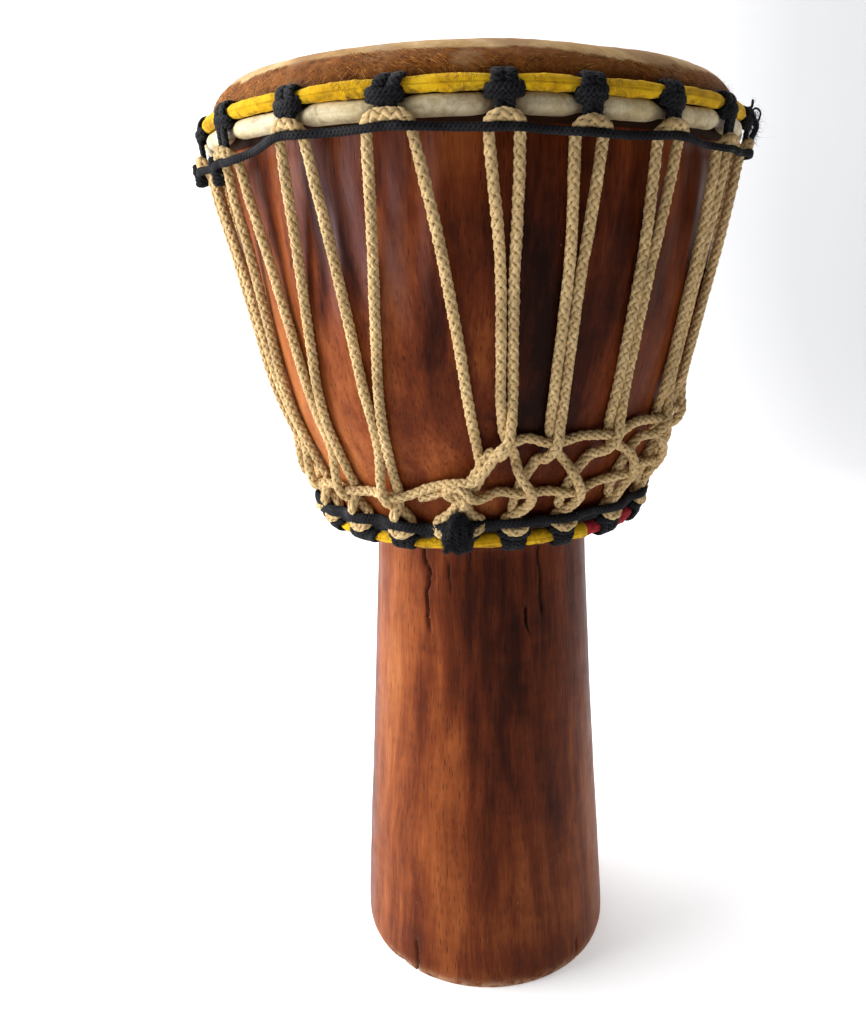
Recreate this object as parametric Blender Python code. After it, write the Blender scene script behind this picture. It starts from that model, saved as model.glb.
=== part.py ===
"""Rope-tuned goblet hand drum (djembe), in metres, +Z up.

Origin: centre of the foot, on the surface the drum stands on.  Azimuth 0 faces
-Y (the front) and grows towards +X.  Every object is one closed body.
"""
import math

import bmesh
import bpy
from mathutils import Vector
from mathutils.geometry import tessellate_polygon

for old in list(bpy.data.objects):
    bpy.data.objects.remove(old, do_unlink=True)

# ---------------------------------------------------------------- dimensions
SEGMENTS = 40                 # facets round every turned part
STATIONS = 20                 # rope loops round each ring
GAP = 0.0003                  # clearance between neighbouring bodies

# (radius, height) of the carved shell, outside from the foot to the crest
SHELL_OUTER = [
    (0.0955, 0.0000), (0.0964, 0.0030), (0.0959, 0.0210), (0.0926, 0.0700),
    (0.0881, 0.1310), (0.0840, 0.1900), (0.0803, 0.2470), (0.0759, 0.3160),
    (0.0755, 0.3350), (0.0778, 0.3430), (0.0862, 0.3500), (0.0960, 0.3545),
    (0.1035, 0.3600), (0.1085, 0.3675), (0.1118, 0.3770), (0.1217, 0.4000),
    (0.1328, 0.4300), (0.1405, 0.4570), (0.1466, 0.4860), (0.1515, 0.5130),
    (0.1560, 0.5440), (0.1584, 0.5740), (0.1572, 0.5875), (0.1551, 0.5985),
    (0.1535, 0.6090), (0.1512, 0.6160), (0.1479, 0.6198), (0.1455, 0.6204),
]
# inside of the shell, from the crest back down to the foot
SHELL_INNER = [
    (0.1435, 0.6190), (0.1422, 0.6125), (0.1415, 0.5980), (0.1400, 0.5600),
    (0.1350, 0.5130), (0.1260, 0.4700), (0.1150, 0.4300), (0.0980, 0.3930),
    (0.0740, 0.3700), (0.0590, 0.3520), (0.0550, 0.3300), (0.0570, 0.3000),
    (0.0650, 0.1900), (0.0740, 0.0700), (0.0790, 0.0100), (0.0800, 0.0000),
]
RIM_START = 22                # first SHELL_OUTER point that the skin lies on

SKIN_THICK = 0.0013
FLESH_RADIUS = 0.0027         # round bar folded into the skin
FLESH_Z = 0.5887
FLESH_CLEAR = 0.0020          # the bar hangs this far out from the wood
SKIN_TIP_ANGLE = 70           # where the folded skin is trimmed, degrees

CROWN_CENTRE = (0.1677, 0.5990)
CROWN_RADIUS = 0.0026
FOOT_RING_CENTRE = (0.1080, 0.3535)
FOOT_RING_RADIUS = 0.0030
CROWN_CLOTH = 0.0009
FOOT_CLOTH = 0.0011
CROWN_YELLOW = (-108.0, 99.0)    # azimuths of the yellow cloth, on ring facets
FOOT_YELLOW = (-117.0, 36.0)
CLOTH_END_GAP = 0.25             # degrees left open between two cloths

# azimuths of the hand-tied stations; the rest are spread evenly round the back
TOP_FRONT = [-71.0, -52.0, -33.0, -13.0, 6.0, 20.5, 37.0, 56.0, 74.0]
FOOT_FRONT = [-46.0, -28.0, -7.7, 10.0, 26.0, 46.0, 68.0]
TWO_ROW_STATIONS = range(4, 11)  # top stations tied by both weave rows

ROPE_RADIUS = 0.0022
WEAVE_RADIUS = 0.0020
CORD_RADIUS = 0.0018
ROPE_SIDES = 5
TOP_HALF_SPREAD = 0.0074      # half the distance between one arc's two legs
FOOT_HALF_SPREAD = 0.0072

TOP_LEG = (0.1700, 0.5825)    # (radius, height) where a leg leaves its arc
TOP_APEX = (0.1759, 0.5890)
CROWN_CORD_Z = 0.5790
FOOT_LEG = (0.1118, 0.3680)
FOOT_APEX = (0.1172, 0.3575)
FOOT_CORD_Z = 0.3668
TOUCH_Z = 0.4600              # legs meet the wood here
PAIR_Z = 0.4450               # legs of one station run side by side below this
UPPER_ROW_Z = 0.4230
LOWER_ROW_Z = 0.3920

CROWN_LOOP_WIDTH = 0.0090
FOOT_LOOP_WIDTH = 0.0084
LOOP_THICK = 0.0014
LOOP_SIDES = 8

# ---------------------------------------------------------------- materials


def material(name, colour, roughness, metallic=0.0):
    mat = bpy.data.materials.new(name)
    mat.use_nodes = True
    shader = mat.node_tree.nodes["Principled BSDF"]
    shader.inputs["Base Color"].default_value = (*colour, 1.0)
    shader.inputs["Roughness"].default_value = roughness
    shader.inputs["Metallic"].default_value = metallic
    mat.diffuse_color = (*colour, 1.0)
    return mat


WOOD = ((0.20, 0.065, 0.030), 0.45)
SKIN = ((0.62, 0.45, 0.29), 0.6)
STEEL = ((0.32, 0.32, 0.33), 0.45, 1.0)
YELLOW = ((0.85, 0.52, 0.04), 0.9)
RED = ((0.62, 0.04, 0.03), 0.9)
BLACK = ((0.02, 0.02, 0.024), 0.8)
HEMP = ((0.52, 0.38, 0.20), 0.9)

# ---------------------------------------------------------------- geometry


def point(radius, azimuth, z):
    a = math.radians(azimuth)
    return Vector((radius * math.sin(a), -radius * math.cos(a), z))


def add_object(name, verts, faces, look):
    mesh = bpy.data.meshes.new(name)
    bm = bmesh.new()
    made = [bm.verts.new(v) for v in verts]
    for face in faces:
        bm.faces.new([made[i] for i in face])
    bmesh.ops.recalc_face_normals(bm, faces=bm.faces)
    bm.to_mesh(mesh)
    bm.free()
    obj = bpy.data.objects.new(name, mesh)
    bpy.context.scene.collection.objects.link(obj)
    mesh.materials.append(material(name, *look))
    return obj


def circle(centre, radius, sides, start=0.0, end=360.0):
    """Points (radius, height) round a ring's section; open when not a full turn."""
    full = end - start >= 360.0
    count = sides if full else sides + 1
    step = (end - start) / sides
    angles = [math.radians(start + step * i) for i in range(count)]
    return [(centre[0] + radius * math.cos(a), centre[1] + radius * math.sin(a))
            for a in angles]


def offset(profile, distance):
    """Move an open profile outwards, to the right of its direction of travel."""
    out = []
    for i, here in enumerate(profile):
        before = profile[max(i - 1, 0)]
        after = profile[min(i + 1, len(profile) - 1)]
        dr, dz = after[0] - before[0], after[1] - before[1]
        length = math.hypot(dr, dz)
        out.append((here[0] + distance * dz / length,
                    here[1] - distance * dr / length))
    return out


def turn(name, section, look):
    """Turn a closed section that stays clear of the axis."""
    n = len(section)
    verts = [point(r, 360.0 * s / SEGMENTS, z)
             for s in range(SEGMENTS) for r, z in section]
    faces = []
    for s in range(SEGMENTS):
        a, b = s * n, ((s + 1) % SEGMENTS) * n
        for i in range(n):
            j = (i + 1) % n
            faces.append((a + i, a + j, b + j, b + i))
    return add_object(name, verts, faces, look)


def turn_capped(name, profile, look):
    """Turn a profile whose first and last points lie on the axis."""
    inner = profile[1:-1]
    n = len(inner)
    verts = [Vector((0.0, 0.0, profile[0][1])), Vector((0.0, 0.0, profile[-1][1]))]
    verts += [point(r, 360.0 * s / SEGMENTS, z)
              for s in range(SEGMENTS) for r, z in inner]
    faces = []
    for s in range(SEGMENTS):
        a, b = 2 + s * n, 2 + ((s + 1) % SEGMENTS) * n
        faces.append((0, a, b))
        faces.append((1, b + n - 1, a + n - 1))
        for i in range(n - 1):
            faces.append((a + i, a + i + 1, b + i + 1, b + i))
    return add_object(name, verts, faces, look)


def cloth(name, centre, inner, outer, start, end, look):
    """A sleeve round part of a ring, open at both ends."""
    count = round((end - start) * SEGMENTS / 360.0)
    facet = (end - start) / count
    hole = circle(centre, inner, 6, 22.5, 382.5)
    skin = circle(centre, outer, 8, 22.5, 382.5)
    verts, faces = [], []
    for s in range(count + 1):
        azimuth = min(max(start + facet * s, start + CLOTH_END_GAP),
                      end - CLOTH_END_GAP)
        verts += [point(r, azimuth, z) for r, z in skin + hole]
    n, m = len(skin), len(hole)
    for s in range(count):
        a, b = s * (n + m), (s + 1) * (n + m)
        for i in range(n):
            j = (i + 1) % n
            faces.append((a + i, a + j, b + j, b + i))
        for i in range(m):
            j = (i + 1) % m
            faces.append((a + n + i, b + n + i, b + n + j, a + n + j))
    for base, flip in ((0, False), (count * (n + m), True)):
        for face in annulus(n, m, base):
            faces.append(tuple(reversed(face)) if flip else face)
    return add_object(name, verts, faces, look)


def annulus(outer, inner, base):
    """Triangles between an outer and an inner loop that start at one angle."""
    faces, i, j = [], 0, 0
    while i < outer or j < inner:
        a, b = base + i % outer, base + outer + j % inner
        if j >= inner or (i < outer and (i + 1) / outer <= (j + 1) / inner):
            faces.append((a, b, base + (i + 1) % outer))
            i += 1
        else:
            faces.append((a, b, base + outer + (j + 1) % inner))
            j += 1
    return faces


def tube(name, path, radius, look, sides=ROPE_SIDES, closed=False):
    """A round rope along a path, kept from twisting by parallel transport."""
    n = len(path)
    tangents = []
    for i in range(n):
        if closed:
            before, after = path[i - 1], path[(i + 1) % n]
        else:
            before, after = path[max(i - 1, 0)], path[min(i + 1, n - 1)]
        tangents.append((after - before).normalized())
    side = Vector((path[0].x, path[0].y, 0.0))
    verts = []
    for here, along in zip(path, tangents):
        side = (side - along * side.dot(along)).normalized()
        other = along.cross(side)
        for k in range(sides):
            a = 2.0 * math.pi * (k + 0.5) / sides
            verts.append(here + radius * (math.cos(a) * side + math.sin(a) * other))
    faces = []
    for i in range(n if closed else n - 1):
        a, b = i * sides, ((i + 1) % n) * sides
        for k in range(sides):
            m = (k + 1) % sides
            faces.append((a + k, a + m, b + m, b + k))
    if not closed:
        faces.append(tuple(reversed(range(sides))))
        faces.append(tuple(range((n - 1) * sides, n * sides)))
    return add_object(name, verts, faces, look)


def ball(name, centre, radii, azimuth, look):
    """A low-sided ellipsoid; radii are radial, across and vertical."""
    bm = bmesh.new()
    bmesh.ops.create_icosphere(bm, subdivisions=2, radius=1.0)
    radial, across = point(1.0, azimuth, 0.0), point(1.0, azimuth + 90.0, 0.0)
    up = Vector((0.0, 0.0, 1.0))
    verts = [centre + radial * (v.co.x * radii[0]) + across * (v.co.y * radii[1])
             + up * (v.co.z * radii[2]) for v in bm.verts]
    faces = [tuple(v.index for v in face.verts) for face in bm.faces]
    bm.free()
    return add_object(name, verts, faces, look)


def plate(name, outline, hole, azimuth, width, look):
    """An outline with a hole, drawn in the radial plane and given a width."""
    radial, across = point(1.0, azimuth, 0.0), point(1.0, azimuth + 90.0, 0.0)
    n, m = len(outline), len(hole)
    flat = [[Vector((r, z, 0.0)) for r, z in loop] for loop in (outline, hole)]
    caps = tessellate_polygon(flat)
    verts, faces = [], []
    for base, shift in ((0, -width / 2.0), (n + m, width / 2.0)):
        for r, z in outline + hole:
            verts.append(radial * r + across * shift + Vector((0.0, 0.0, z)))
        faces += [tuple(base + i for i in cap) for cap in caps]
    for first, count in ((0, n), (n, m)):
        for i in range(count):
            a, b = first + i, first + (i + 1) % count
            faces.append((a, b, n + m + b, n + m + a))
    return add_object(name, verts, faces, look)


# ---------------------------------------------------------------- stations


def spread_round(front, count):
    """Complete a list of azimuths evenly round the back."""
    free = 360.0 - (front[-1] - front[0])
    step = free / (count - len(front) + 1)
    return front + [front[-1] + step * (i + 1) for i in range(count - len(front))]


TOP = spread_round(TOP_FRONT, STATIONS)
_foot = spread_round(FOOT_FRONT, STATIONS)
FOOT = [_foot[-1] - 360.0] + _foot[:-1]      # FOOT[k] lies after TOP[k]


def bowl_radius(z):
    for (r0, z0), (r1, z1) in zip(SHELL_OUTER, SHELL_OUTER[1:]):
        if z0 <= z <= z1:
            return r0 + (r1 - r0) * (z - z0) / (z1 - z0)
    return SHELL_OUTER[-1][0]


def on_bowl(azimuth, z, height):
    """A point at a given height above the wood, along the wood's normal."""
    slope = (bowl_radius(z + 0.006) - bowl_radius(z - 0.006)) / 0.012
    length = math.hypot(1.0, slope)
    return point(bowl_radius(z) + height / length, azimuth,
                 z - height * slope / length)


def degrees(arc, radius):
    return math.degrees(arc / radius)


LEVEL_1 = GAP + ROPE_RADIUS                                  # against the wood
LEVEL_2 = LEVEL_1 + ROPE_RADIUS + GAP + WEAVE_RADIUS         # weave rope
LEVEL_3 = LEVEL_2 + WEAVE_RADIUS + GAP + ROPE_RADIUS         # over the weave


def bridge(angle_a, angle_b, z_from, z_to, z):
    return angle_a + (angle_b - angle_a) * (z - z_from) / (z_to - z_from)


def leg(top_index, foot_index, side):
    """Points of one leg from the top arc down to the foot arc.

    side is +1 for the leg that ends up heading right, -1 for the other.
    """
    top = TOP[top_index % STATIONS] + 360.0 * (top_index // STATIONS)
    foot = FOOT[foot_index % STATIONS] + 360.0 * (foot_index // STATIONS)
    two_rows = top_index % STATIONS in TWO_ROW_STATIONS
    end = foot + side * degrees(FOOT_HALF_SPREAD, FOOT_LEG[0])
    over_lower = LEVEL_3 if side > 0 else LEVEL_1
    path = []
    if two_rows:
        start = top - side * degrees(TOP_HALF_SPREAD, TOP_LEG[0])
        pair = top - side * degrees(0.0026, 0.135)
        over_upper = LEVEL_1 if side > 0 else LEVEL_3
        path.append(point(TOP_LEG[0], start, TOP_LEG[1]))
        path.append(on_bowl(bridge(start, pair, TOP_LEG[1], PAIR_Z, TOUCH_Z),
                            TOUCH_Z, 0.0046))
        path.append(on_bowl(pair, PAIR_Z, LEVEL_1 + 0.0004))
        path.append(on_bowl(top - side * 0.5, UPPER_ROW_Z + 0.008,
                            over_upper))
        path.append(on_bowl(top, UPPER_ROW_Z, over_upper))
        path.append(on_bowl(top + side * 1.6, UPPER_ROW_Z - 0.007, over_upper))
        path.append(on_bowl((top + foot) / 2.0, (UPPER_ROW_Z + LOWER_ROW_Z) / 2.0,
                            LEVEL_1 + 0.0015))
        path.append(on_bowl(foot - side * 1.8, LOWER_ROW_Z + 0.006, over_lower))
    else:
        start = top + side * degrees(TOP_HALF_SPREAD, TOP_LEG[0])
        path.append(point(TOP_LEG[0], start, TOP_LEG[1]))
        for z, height in ((TOUCH_Z, 0.0046), (0.4250, LEVEL_1 + 0.0004)):
            path.append(on_bowl(bridge(start, foot, TOP_LEG[1], LOWER_ROW_Z, z),
                                z, height))
        path.append(on_bowl(foot - side * 0.6, LOWER_ROW_Z + 0.008, over_lower))
    path.append(on_bowl(foot, LOWER_ROW_Z, over_lower))
    path.append(on_bowl(foot + side * 1.5, LOWER_ROW_Z - 0.007, over_lower))
    path.append(point(FOOT_LEG[0] + 0.0014, end, FOOT_LEG[1] + 0.0040))
    path.append(point(FOOT_LEG[0], end, FOOT_LEG[1]))
    return path


def lacing_path():
    path = []
    for k in range(STATIONS):
        heading = degrees(TOP_HALF_SPREAD, TOP_LEG[0])
        side = -1.0 if k in TWO_ROW_STATIONS else 1.0
        top = TOP[k]
        for part in (-1.0, -0.8, 0.0, 0.8, 1.0):
            drop = 4.0 * max(abs(part) - 0.8, 0.0)
            path.append(point(TOP_APEX[0] - 0.0036 * drop, top + side * heading * part,
                              TOP_APEX[1] - 0.0038 * abs(part) - 0.0005 * drop))
        path += leg(k, k, 1)
        spread = degrees(FOOT_HALF_SPREAD, FOOT_APEX[0])
        for part, rise in ((0.86, 0.0046), (0.62, 0.0014), (0.0, 0.0),
                           (-0.62, 0.0014), (-0.86, 0.0046)):
            path.append(point(FOOT_APEX[0] - 0.30 * rise, FOOT[k] + spread * part,
                              FOOT_APEX[1] + rise))
        path += reversed(leg(k + 1, k, -1))
    return path


def weave_path():
    """Lower row all the way round, then the upper row part of the way."""
    first, last = FOOT[4], FOOT[3] + 360.0
    path = [on_bowl(first - 9.0, LOWER_ROW_Z - 0.017, LEVEL_1 + 0.0015),
            on_bowl(first - 8.5, LOWER_ROW_Z - 0.008, LEVEL_1 + 0.002),
            on_bowl(first - 5.0, LOWER_ROW_Z - 0.002, LEVEL_2 - 0.001)]
    for k in range(4, STATIONS + 4):
        here = FOOT[k % STATIONS] + 360.0 * (k // STATIONS)
        after = FOOT[(k + 1) % STATIONS] + 360.0 * ((k + 1) // STATIONS)
        for part in (-1.8, 1.8):
            path.append(on_bowl(here + part, LOWER_ROW_Z, LEVEL_2))
        if k < STATIONS + 3:
            path.append(on_bowl(here + (after - here) * 0.5, LOWER_ROW_Z, LEVEL_1))
    path += [on_bowl(last + 6.0, LOWER_ROW_Z + 0.002, LEVEL_1 + 0.001),
             on_bowl(last + 11.2, LOWER_ROW_Z + 0.013, LEVEL_1 + 0.001),
             on_bowl(last + 12.7, LOWER_ROW_Z + 0.024, LEVEL_2)]
    for k in TWO_ROW_STATIONS:
        here = TOP[k] + 360.0
        for part in (-1.8, 1.8) if k > TWO_ROW_STATIONS[0] else (1.8,):
            path.append(on_bowl(here + part, UPPER_ROW_Z, LEVEL_2))
        if k + 1 in TWO_ROW_STATIONS:
            path.append(on_bowl((TOP[k] + TOP[k + 1]) / 2.0 + 360.0,
                                UPPER_ROW_Z, LEVEL_1))
    path.append(on_bowl(TOP[TWO_ROW_STATIONS[-1]] + 366.0, UPPER_ROW_Z - 0.004,
                        LEVEL_1))
    return path


def cord_path(stations, half_spread, leg_radius, leg_z):
    """A cord that passes in front of every leg and tucks in under every arc."""
    front = leg_radius + ROPE_RADIUS + GAP + CORD_RADIUS
    path = []
    for k, azimuth in enumerate(stations):
        after = stations[(k + 1) % STATIONS] + (360.0 if k + 1 == STATIONS else 0.0)
        half = degrees(half_spread, leg_radius)
        path.append(point(front - 0.0012, azimuth, leg_z + 0.0012))
        path.append(point(front, azimuth + half, leg_z))
        path.append(point(front - 0.0006, (azimuth + after) / 2.0, leg_z))
        path.append(point(front, after - half, leg_z))
    return path


def ring_loop(name, centre, ring_radius, tail, azimuth, width):
    """A black hitch: a band round the wrapped ring, with a tail from its outside.

    tail holds (radius, height) points that hang down from the band's outside.
    """
    middle = (centre[0] - 0.0002, centre[1])
    inner = ring_radius + 0.0006
    half = 180.0 / LOOP_SIDES
    band = circle(middle, inner + LOOP_THICK, LOOP_SIDES, half, 360.0 + half)
    hole = circle(middle, inner, LOOP_SIDES, half, 360.0 + half)
    plate(name, band[:-1] + tail + band[-1:], hole, azimuth, width, BLACK)


# ---------------------------------------------------------------- the parts

turn("shell", SHELL_OUTER + SHELL_INNER, WOOD)

rim = SHELL_OUTER[RIM_START:]
under = offset(rim, GAP)
over = offset(rim, GAP + SKIN_THICK)
fold_inner = FLESH_RADIUS + 0.0005
fold_outer = fold_inner + SKIN_THICK
flesh_centre = (over[0][0] + fold_inner + FLESH_CLEAR, FLESH_Z)
fold_in = circle(flesh_centre, fold_inner, 6, 180.0, 360.0 + SKIN_TIP_ANGLE)
fold_out = circle(flesh_centre, fold_outer, 6, 180.0, 360.0 + SKIN_TIP_ANGLE)
top_under = under[-1][1]
skin = [(0.0, top_under)] + list(reversed(under))[:-1] + fold_out
skin += list(reversed(fold_in)) + over[1:] + [(0.0, over[-1][1])]
turn_capped("drumhead_skin", skin, SKIN)
turn("flesh_ring", circle(flesh_centre, FLESH_RADIUS, 6, 0.0, 360.0), STEEL)

turn("crown_ring", circle(CROWN_CENTRE, CROWN_RADIUS, 6), STEEL)
turn("bottom_ring", circle(FOOT_RING_CENTRE, FOOT_RING_RADIUS, 6), STEEL)
for label, centre, bar, thick, span in (
        ("crown", CROWN_CENTRE, CROWN_RADIUS, CROWN_CLOTH, CROWN_YELLOW),
        ("bottom", FOOT_RING_CENTRE, FOOT_RING_RADIUS, FOOT_CLOTH, FOOT_YELLOW)):
    hole_radius = (bar + GAP) / math.cos(math.radians(30.0))
    cloth(label + "_wrap_yellow", centre, hole_radius, hole_radius + thick,
          span[0], span[1], YELLOW)
    cloth(label + "_wrap_red", centre, hole_radius, hole_radius + thick,
          span[1], span[0] + 360.0, RED)

tube("lacing_rope", lacing_path(), ROPE_RADIUS, HEMP, closed=True)
tube("weave_rope", weave_path(), WEAVE_RADIUS, HEMP)

tube("crown_cord", cord_path(TOP, TOP_HALF_SPREAD, 0.1694, CROWN_CORD_Z),
     CORD_RADIUS, BLACK, closed=True)
tube("bottom_cord", cord_path(FOOT, FOOT_HALF_SPREAD, 0.1137, FOOT_CORD_Z),
     CORD_RADIUS, BLACK, closed=True)

ball("bottom_cord_knot", point(0.1252, FOOT[3], 0.3610), (0.0047, 0.0070, 0.0065),
     FOOT[3], BLACK)
tube("crown_cord_tassel",
     [point(0.1784, 80.0, 0.6070), point(0.1794, 80.6, 0.6000),
      point(0.1790, 81.2, 0.5930), point(0.1780, 81.4, 0.5850)],
     CORD_RADIUS, BLACK)

crown_sleeve = (CROWN_RADIUS + GAP) / math.cos(math.radians(30.0)) + CROWN_CLOTH
foot_sleeve = ((FOOT_RING_RADIUS + GAP) / math.cos(math.radians(30.0))
               + FOOT_CLOTH)
crown_tail = [(0.1701, 0.5940), (0.1701, 0.5836), (0.1715, 0.5836), (0.1719, 0.5950)]
for k in range(STATIONS):
    ring_loop(f"crown_loop_{k + 1:02d}", CROWN_CENTRE, crown_sleeve, crown_tail,
              TOP[k], CROWN_LOOP_WIDTH)
    ring_loop(f"bottom_loop_{k + 1:02d}", FOOT_RING_CENTRE, foot_sleeve, [],
              FOOT[k], FOOT_LOOP_WIDTH)
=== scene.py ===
"""Looks of the rope-tuned goblet drum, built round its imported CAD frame.

Metres, +Z up.  Azimuth 0 faces -Y (the front) and grows towards +X.
"""
import math

import bpy
import numpy as np
from mathutils import Matrix, Vector


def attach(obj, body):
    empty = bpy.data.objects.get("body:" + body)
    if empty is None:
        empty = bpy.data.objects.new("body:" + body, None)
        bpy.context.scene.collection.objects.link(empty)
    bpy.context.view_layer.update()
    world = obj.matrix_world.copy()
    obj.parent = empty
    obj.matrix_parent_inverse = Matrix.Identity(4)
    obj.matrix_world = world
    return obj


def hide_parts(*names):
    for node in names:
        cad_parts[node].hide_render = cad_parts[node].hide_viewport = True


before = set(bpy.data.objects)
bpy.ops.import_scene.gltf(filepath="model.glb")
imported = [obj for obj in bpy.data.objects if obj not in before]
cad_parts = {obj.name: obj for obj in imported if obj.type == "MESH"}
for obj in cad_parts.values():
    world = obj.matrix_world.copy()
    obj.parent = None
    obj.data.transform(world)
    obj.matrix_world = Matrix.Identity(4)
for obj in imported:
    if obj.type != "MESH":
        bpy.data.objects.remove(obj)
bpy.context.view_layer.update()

TAU = 2.0 * math.pi
UP, FLAT = np.array([0.0, 0.0, 1.0]), np.array([1.0, 1.0, 0.0])

# ---------------------------------------------------------------- dimensions
SHELL_OUTER = [
    (0.0955, 0.0000), (0.0964, 0.0030), (0.0959, 0.0210), (0.0926, 0.0700),
    (0.0881, 0.1310), (0.0840, 0.1900), (0.0803, 0.2470), (0.0759, 0.3160),
    (0.0755, 0.3350), (0.0778, 0.3430), (0.0862, 0.3500), (0.0960, 0.3545),
    (0.1035, 0.3600), (0.1085, 0.3675), (0.1118, 0.3770), (0.1217, 0.4000),
    (0.1328, 0.4300), (0.1405, 0.4570), (0.1466, 0.4860), (0.1515, 0.5130),
    (0.1560, 0.5440), (0.1584, 0.5740), (0.1572, 0.5875), (0.1551, 0.5985),
    (0.1535, 0.6090), (0.1512, 0.6160), (0.1479, 0.6198), (0.1455, 0.6204),
]
SHELL_INNER = [
    (0.1435, 0.6190), (0.1422, 0.6125), (0.1415, 0.5980), (0.1400, 0.5600),
    (0.1350, 0.5130), (0.1260, 0.4700), (0.1150, 0.4300), (0.0980, 0.3930),
    (0.0740, 0.3700), (0.0590, 0.3520), (0.0550, 0.3300), (0.0570, 0.3000),
    (0.0650, 0.1900), (0.0740, 0.0700), (0.0790, 0.0100), (0.0800, 0.0000),
]
SKIN_PROFILE = [
    (0.0002, 0.6214), (0.0500, 0.6214), (0.1000, 0.6214), (0.1300, 0.6215),
    (0.1430, 0.6217), (0.1480, 0.6213), (0.1530, 0.6192), (0.1578, 0.6152),
    (0.1615, 0.6105), (0.1634, 0.6062), (0.1632, 0.6035), (0.1616, 0.6010),
    (0.1601, 0.5970), (0.1599, 0.5900), (0.1595, 0.5825),
]
CROWN_CENTRE = (0.1675, 0.5986)
FLESH_CENTRE = (0.1646, 0.5897)
FOOT_CENTRE = (0.1080, 0.3535)
CROWN_YELLOW = (-108.0, 99.0)
FOOT_YELLOW = (-117.0, 36.0)

TOP_FRONT = [-71.0, -52.0, -32.0, -12.9, 5.9, 20.5, 37.0, 55.6, 74.0]
FOOT_FRONT = [-42.0, -25.4, -6.6, 10.4, 26.5, 46.5, 68.0]
STATIONS = 20
# how far below the crown each hitch lets its rope arc hang; the rest hang evenly
HANG = {0: 0.0062, 1: 0.0072, 2: 0.0, 3: 0.0002, 4: 0.0024, 5: 0.0036, 6: 0.0028,
        7: 0.0058, 8: 0.0028}
HANG_BEHIND = 0.0020

ROPE_RADIUS = 0.0033
REAR, WEAVE, FRONT = 0.0031, 0.0072, 0.0112     # heights above the wood
TOP_HALF, FOOT_HALF = 0.0076, 0.0066
LEG_TOP = (0.1705, 0.5825)
LEG_FOOT = (0.1128, 0.3675)
SINGLE_MEET = 0.4300        # below this two legs run side by side to the weave
ROPE_MEETS = 0.4600         # below this a leg lies on the wood
WALL_LEAN = 0.22            # of the bowl's wall there, radians
WEAVE_RADIUS = 0.0031
WIDE, KNOT, KNOT_HALF = 3, 3, 0.0136    # the widest crown hitch; the lower station of the knot
STRANDS, STRAND_SIDES, ROPE_PITCH = 4, 5, 0.0225
SWELL = 0.001               # keeps a path's fourth column small beside its metres
CORD_SIDES, CORD_STEP, CORD_PITCH, CORD_END = 16, 0.00048, 0.0100, 0.0012
BOWL_LEAN, RIM_LEAN = 0.0028, 0.0018    # to the left
LEFT_LIFT, RIGHT_SAG, FOOT_DIP = 0.0018, 0.0022, 0.0042
FUR_LOW = 0.6005
CHIP_AZIMUTH = 318.0
THREAD = 0.00055            # weave of the cotton
HIDE = {"Subsurface_Radius": (0.01, 0.005, 0.002), "Subsurface_Scale": 0.3}
PITCH, ROLLED, PAN = 0.2814, -0.0261, -0.0577   # of the camera, radians
EYE = Vector((0.0, -0.6117, 0.5169))


def spread_round(front, count):
    step = (360.0 - front[-1] + front[0]) / (count - len(front) + 1)
    return front + [front[-1] + step * (i + 1) for i in range(count - len(front))]


TOP = spread_round(TOP_FRONT, STATIONS)
_foot = spread_round(FOOT_FRONT, STATIONS)
FOOT = [_foot[-1] - 360.0] + _foot[:-1]

# where two strands cross, for each lower station: azimuth, height, height of the weave
LOWER = [(-60.0, 0.3750, 0.3830), (-43.0, 0.3750, 0.3845), (-26.0, 0.3752, 0.3845),
         (-5.5, 0.3900, 0.3900), (12.3, 0.3960, 0.3885), (27.0, 0.3940, 0.3860),
         (46.2, 0.4000, 0.3915), (64.5, 0.4010, 0.3930)]
LOWER += [(FOOT[k] + 1.0, 0.4000, 0.3920) if k < 11 else (FOOT[k], 0.3780, 0.3865)
          for k in range(8, STATIONS)]
UPPER = {4: (7.4, 0.4225), 5: (19.2, 0.4200), 6: (36.3, 0.4210),
         7: (57.2, 0.4240), 8: (74.0, 0.4240), 9: (91.9, 0.4240),
         10: (109.8, 0.4230)}
# the knot at the front, where the weave begins and turns up to its second row
CUT_STRAND = [(0.8, 0.4052, 0.0036), (0.2, 0.3960, 0.0030), (-2.2, 0.3880, 0.0030),
              (-4.3, 0.3815, 0.0040), (-2.6, 0.3735, 0.0046)]
LIGHT_STRAND = [(3.6, 0.4150, 0.0062), (0.4, 0.4048, 0.0064), (-2.9, 0.3952, 0.0066),
                (-5.2, 0.3890, 0.0062), (-6.4, 0.3820, 0.0060), (-9.6, 0.3735, 0.0042)]
KNOT_START = [(-3.6, 0.3850, 0.0040), (-7.6, 0.3856, 0.0062), (-9.0, 0.3902, 0.0080),
              (-7.0, 0.3950, 0.0094), (-3.9, 0.3942, 0.0112), (-2.5, 0.3894, 0.0112),
              (-0.9, 0.3862, 0.0085), (2.0, 0.3866, 0.0056), (5.2, 0.3884, 0.0040)]
KNOT_END = [(-20.8, 0.3855, 0.0050), (-15.2, 0.3895, 0.0033), (-9.6, 0.3938, 0.0048),
            (-5.6, 0.3972, 0.0084), (-1.2, 0.4000, 0.0110), (1.9, 0.4070, 0.0112),
            (4.4, 0.4150, 0.0108), (6.6, 0.4215, 0.0112), (9.2, 0.4215, 0.0066),
            (13.0, 0.4218, 0.0033)]
DOUBLED = [(-18.6, 0.3828, 0.0034), (-14.2, 0.3850, 0.0033), (-10.2, 0.3882, 0.0040),
           (-6.6, 0.3893, 0.0070), (-4.3, 0.3858, 0.0098), (-4.6, 0.3812, 0.0082),
           (-6.4, 0.3785, 0.0050)]

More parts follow.
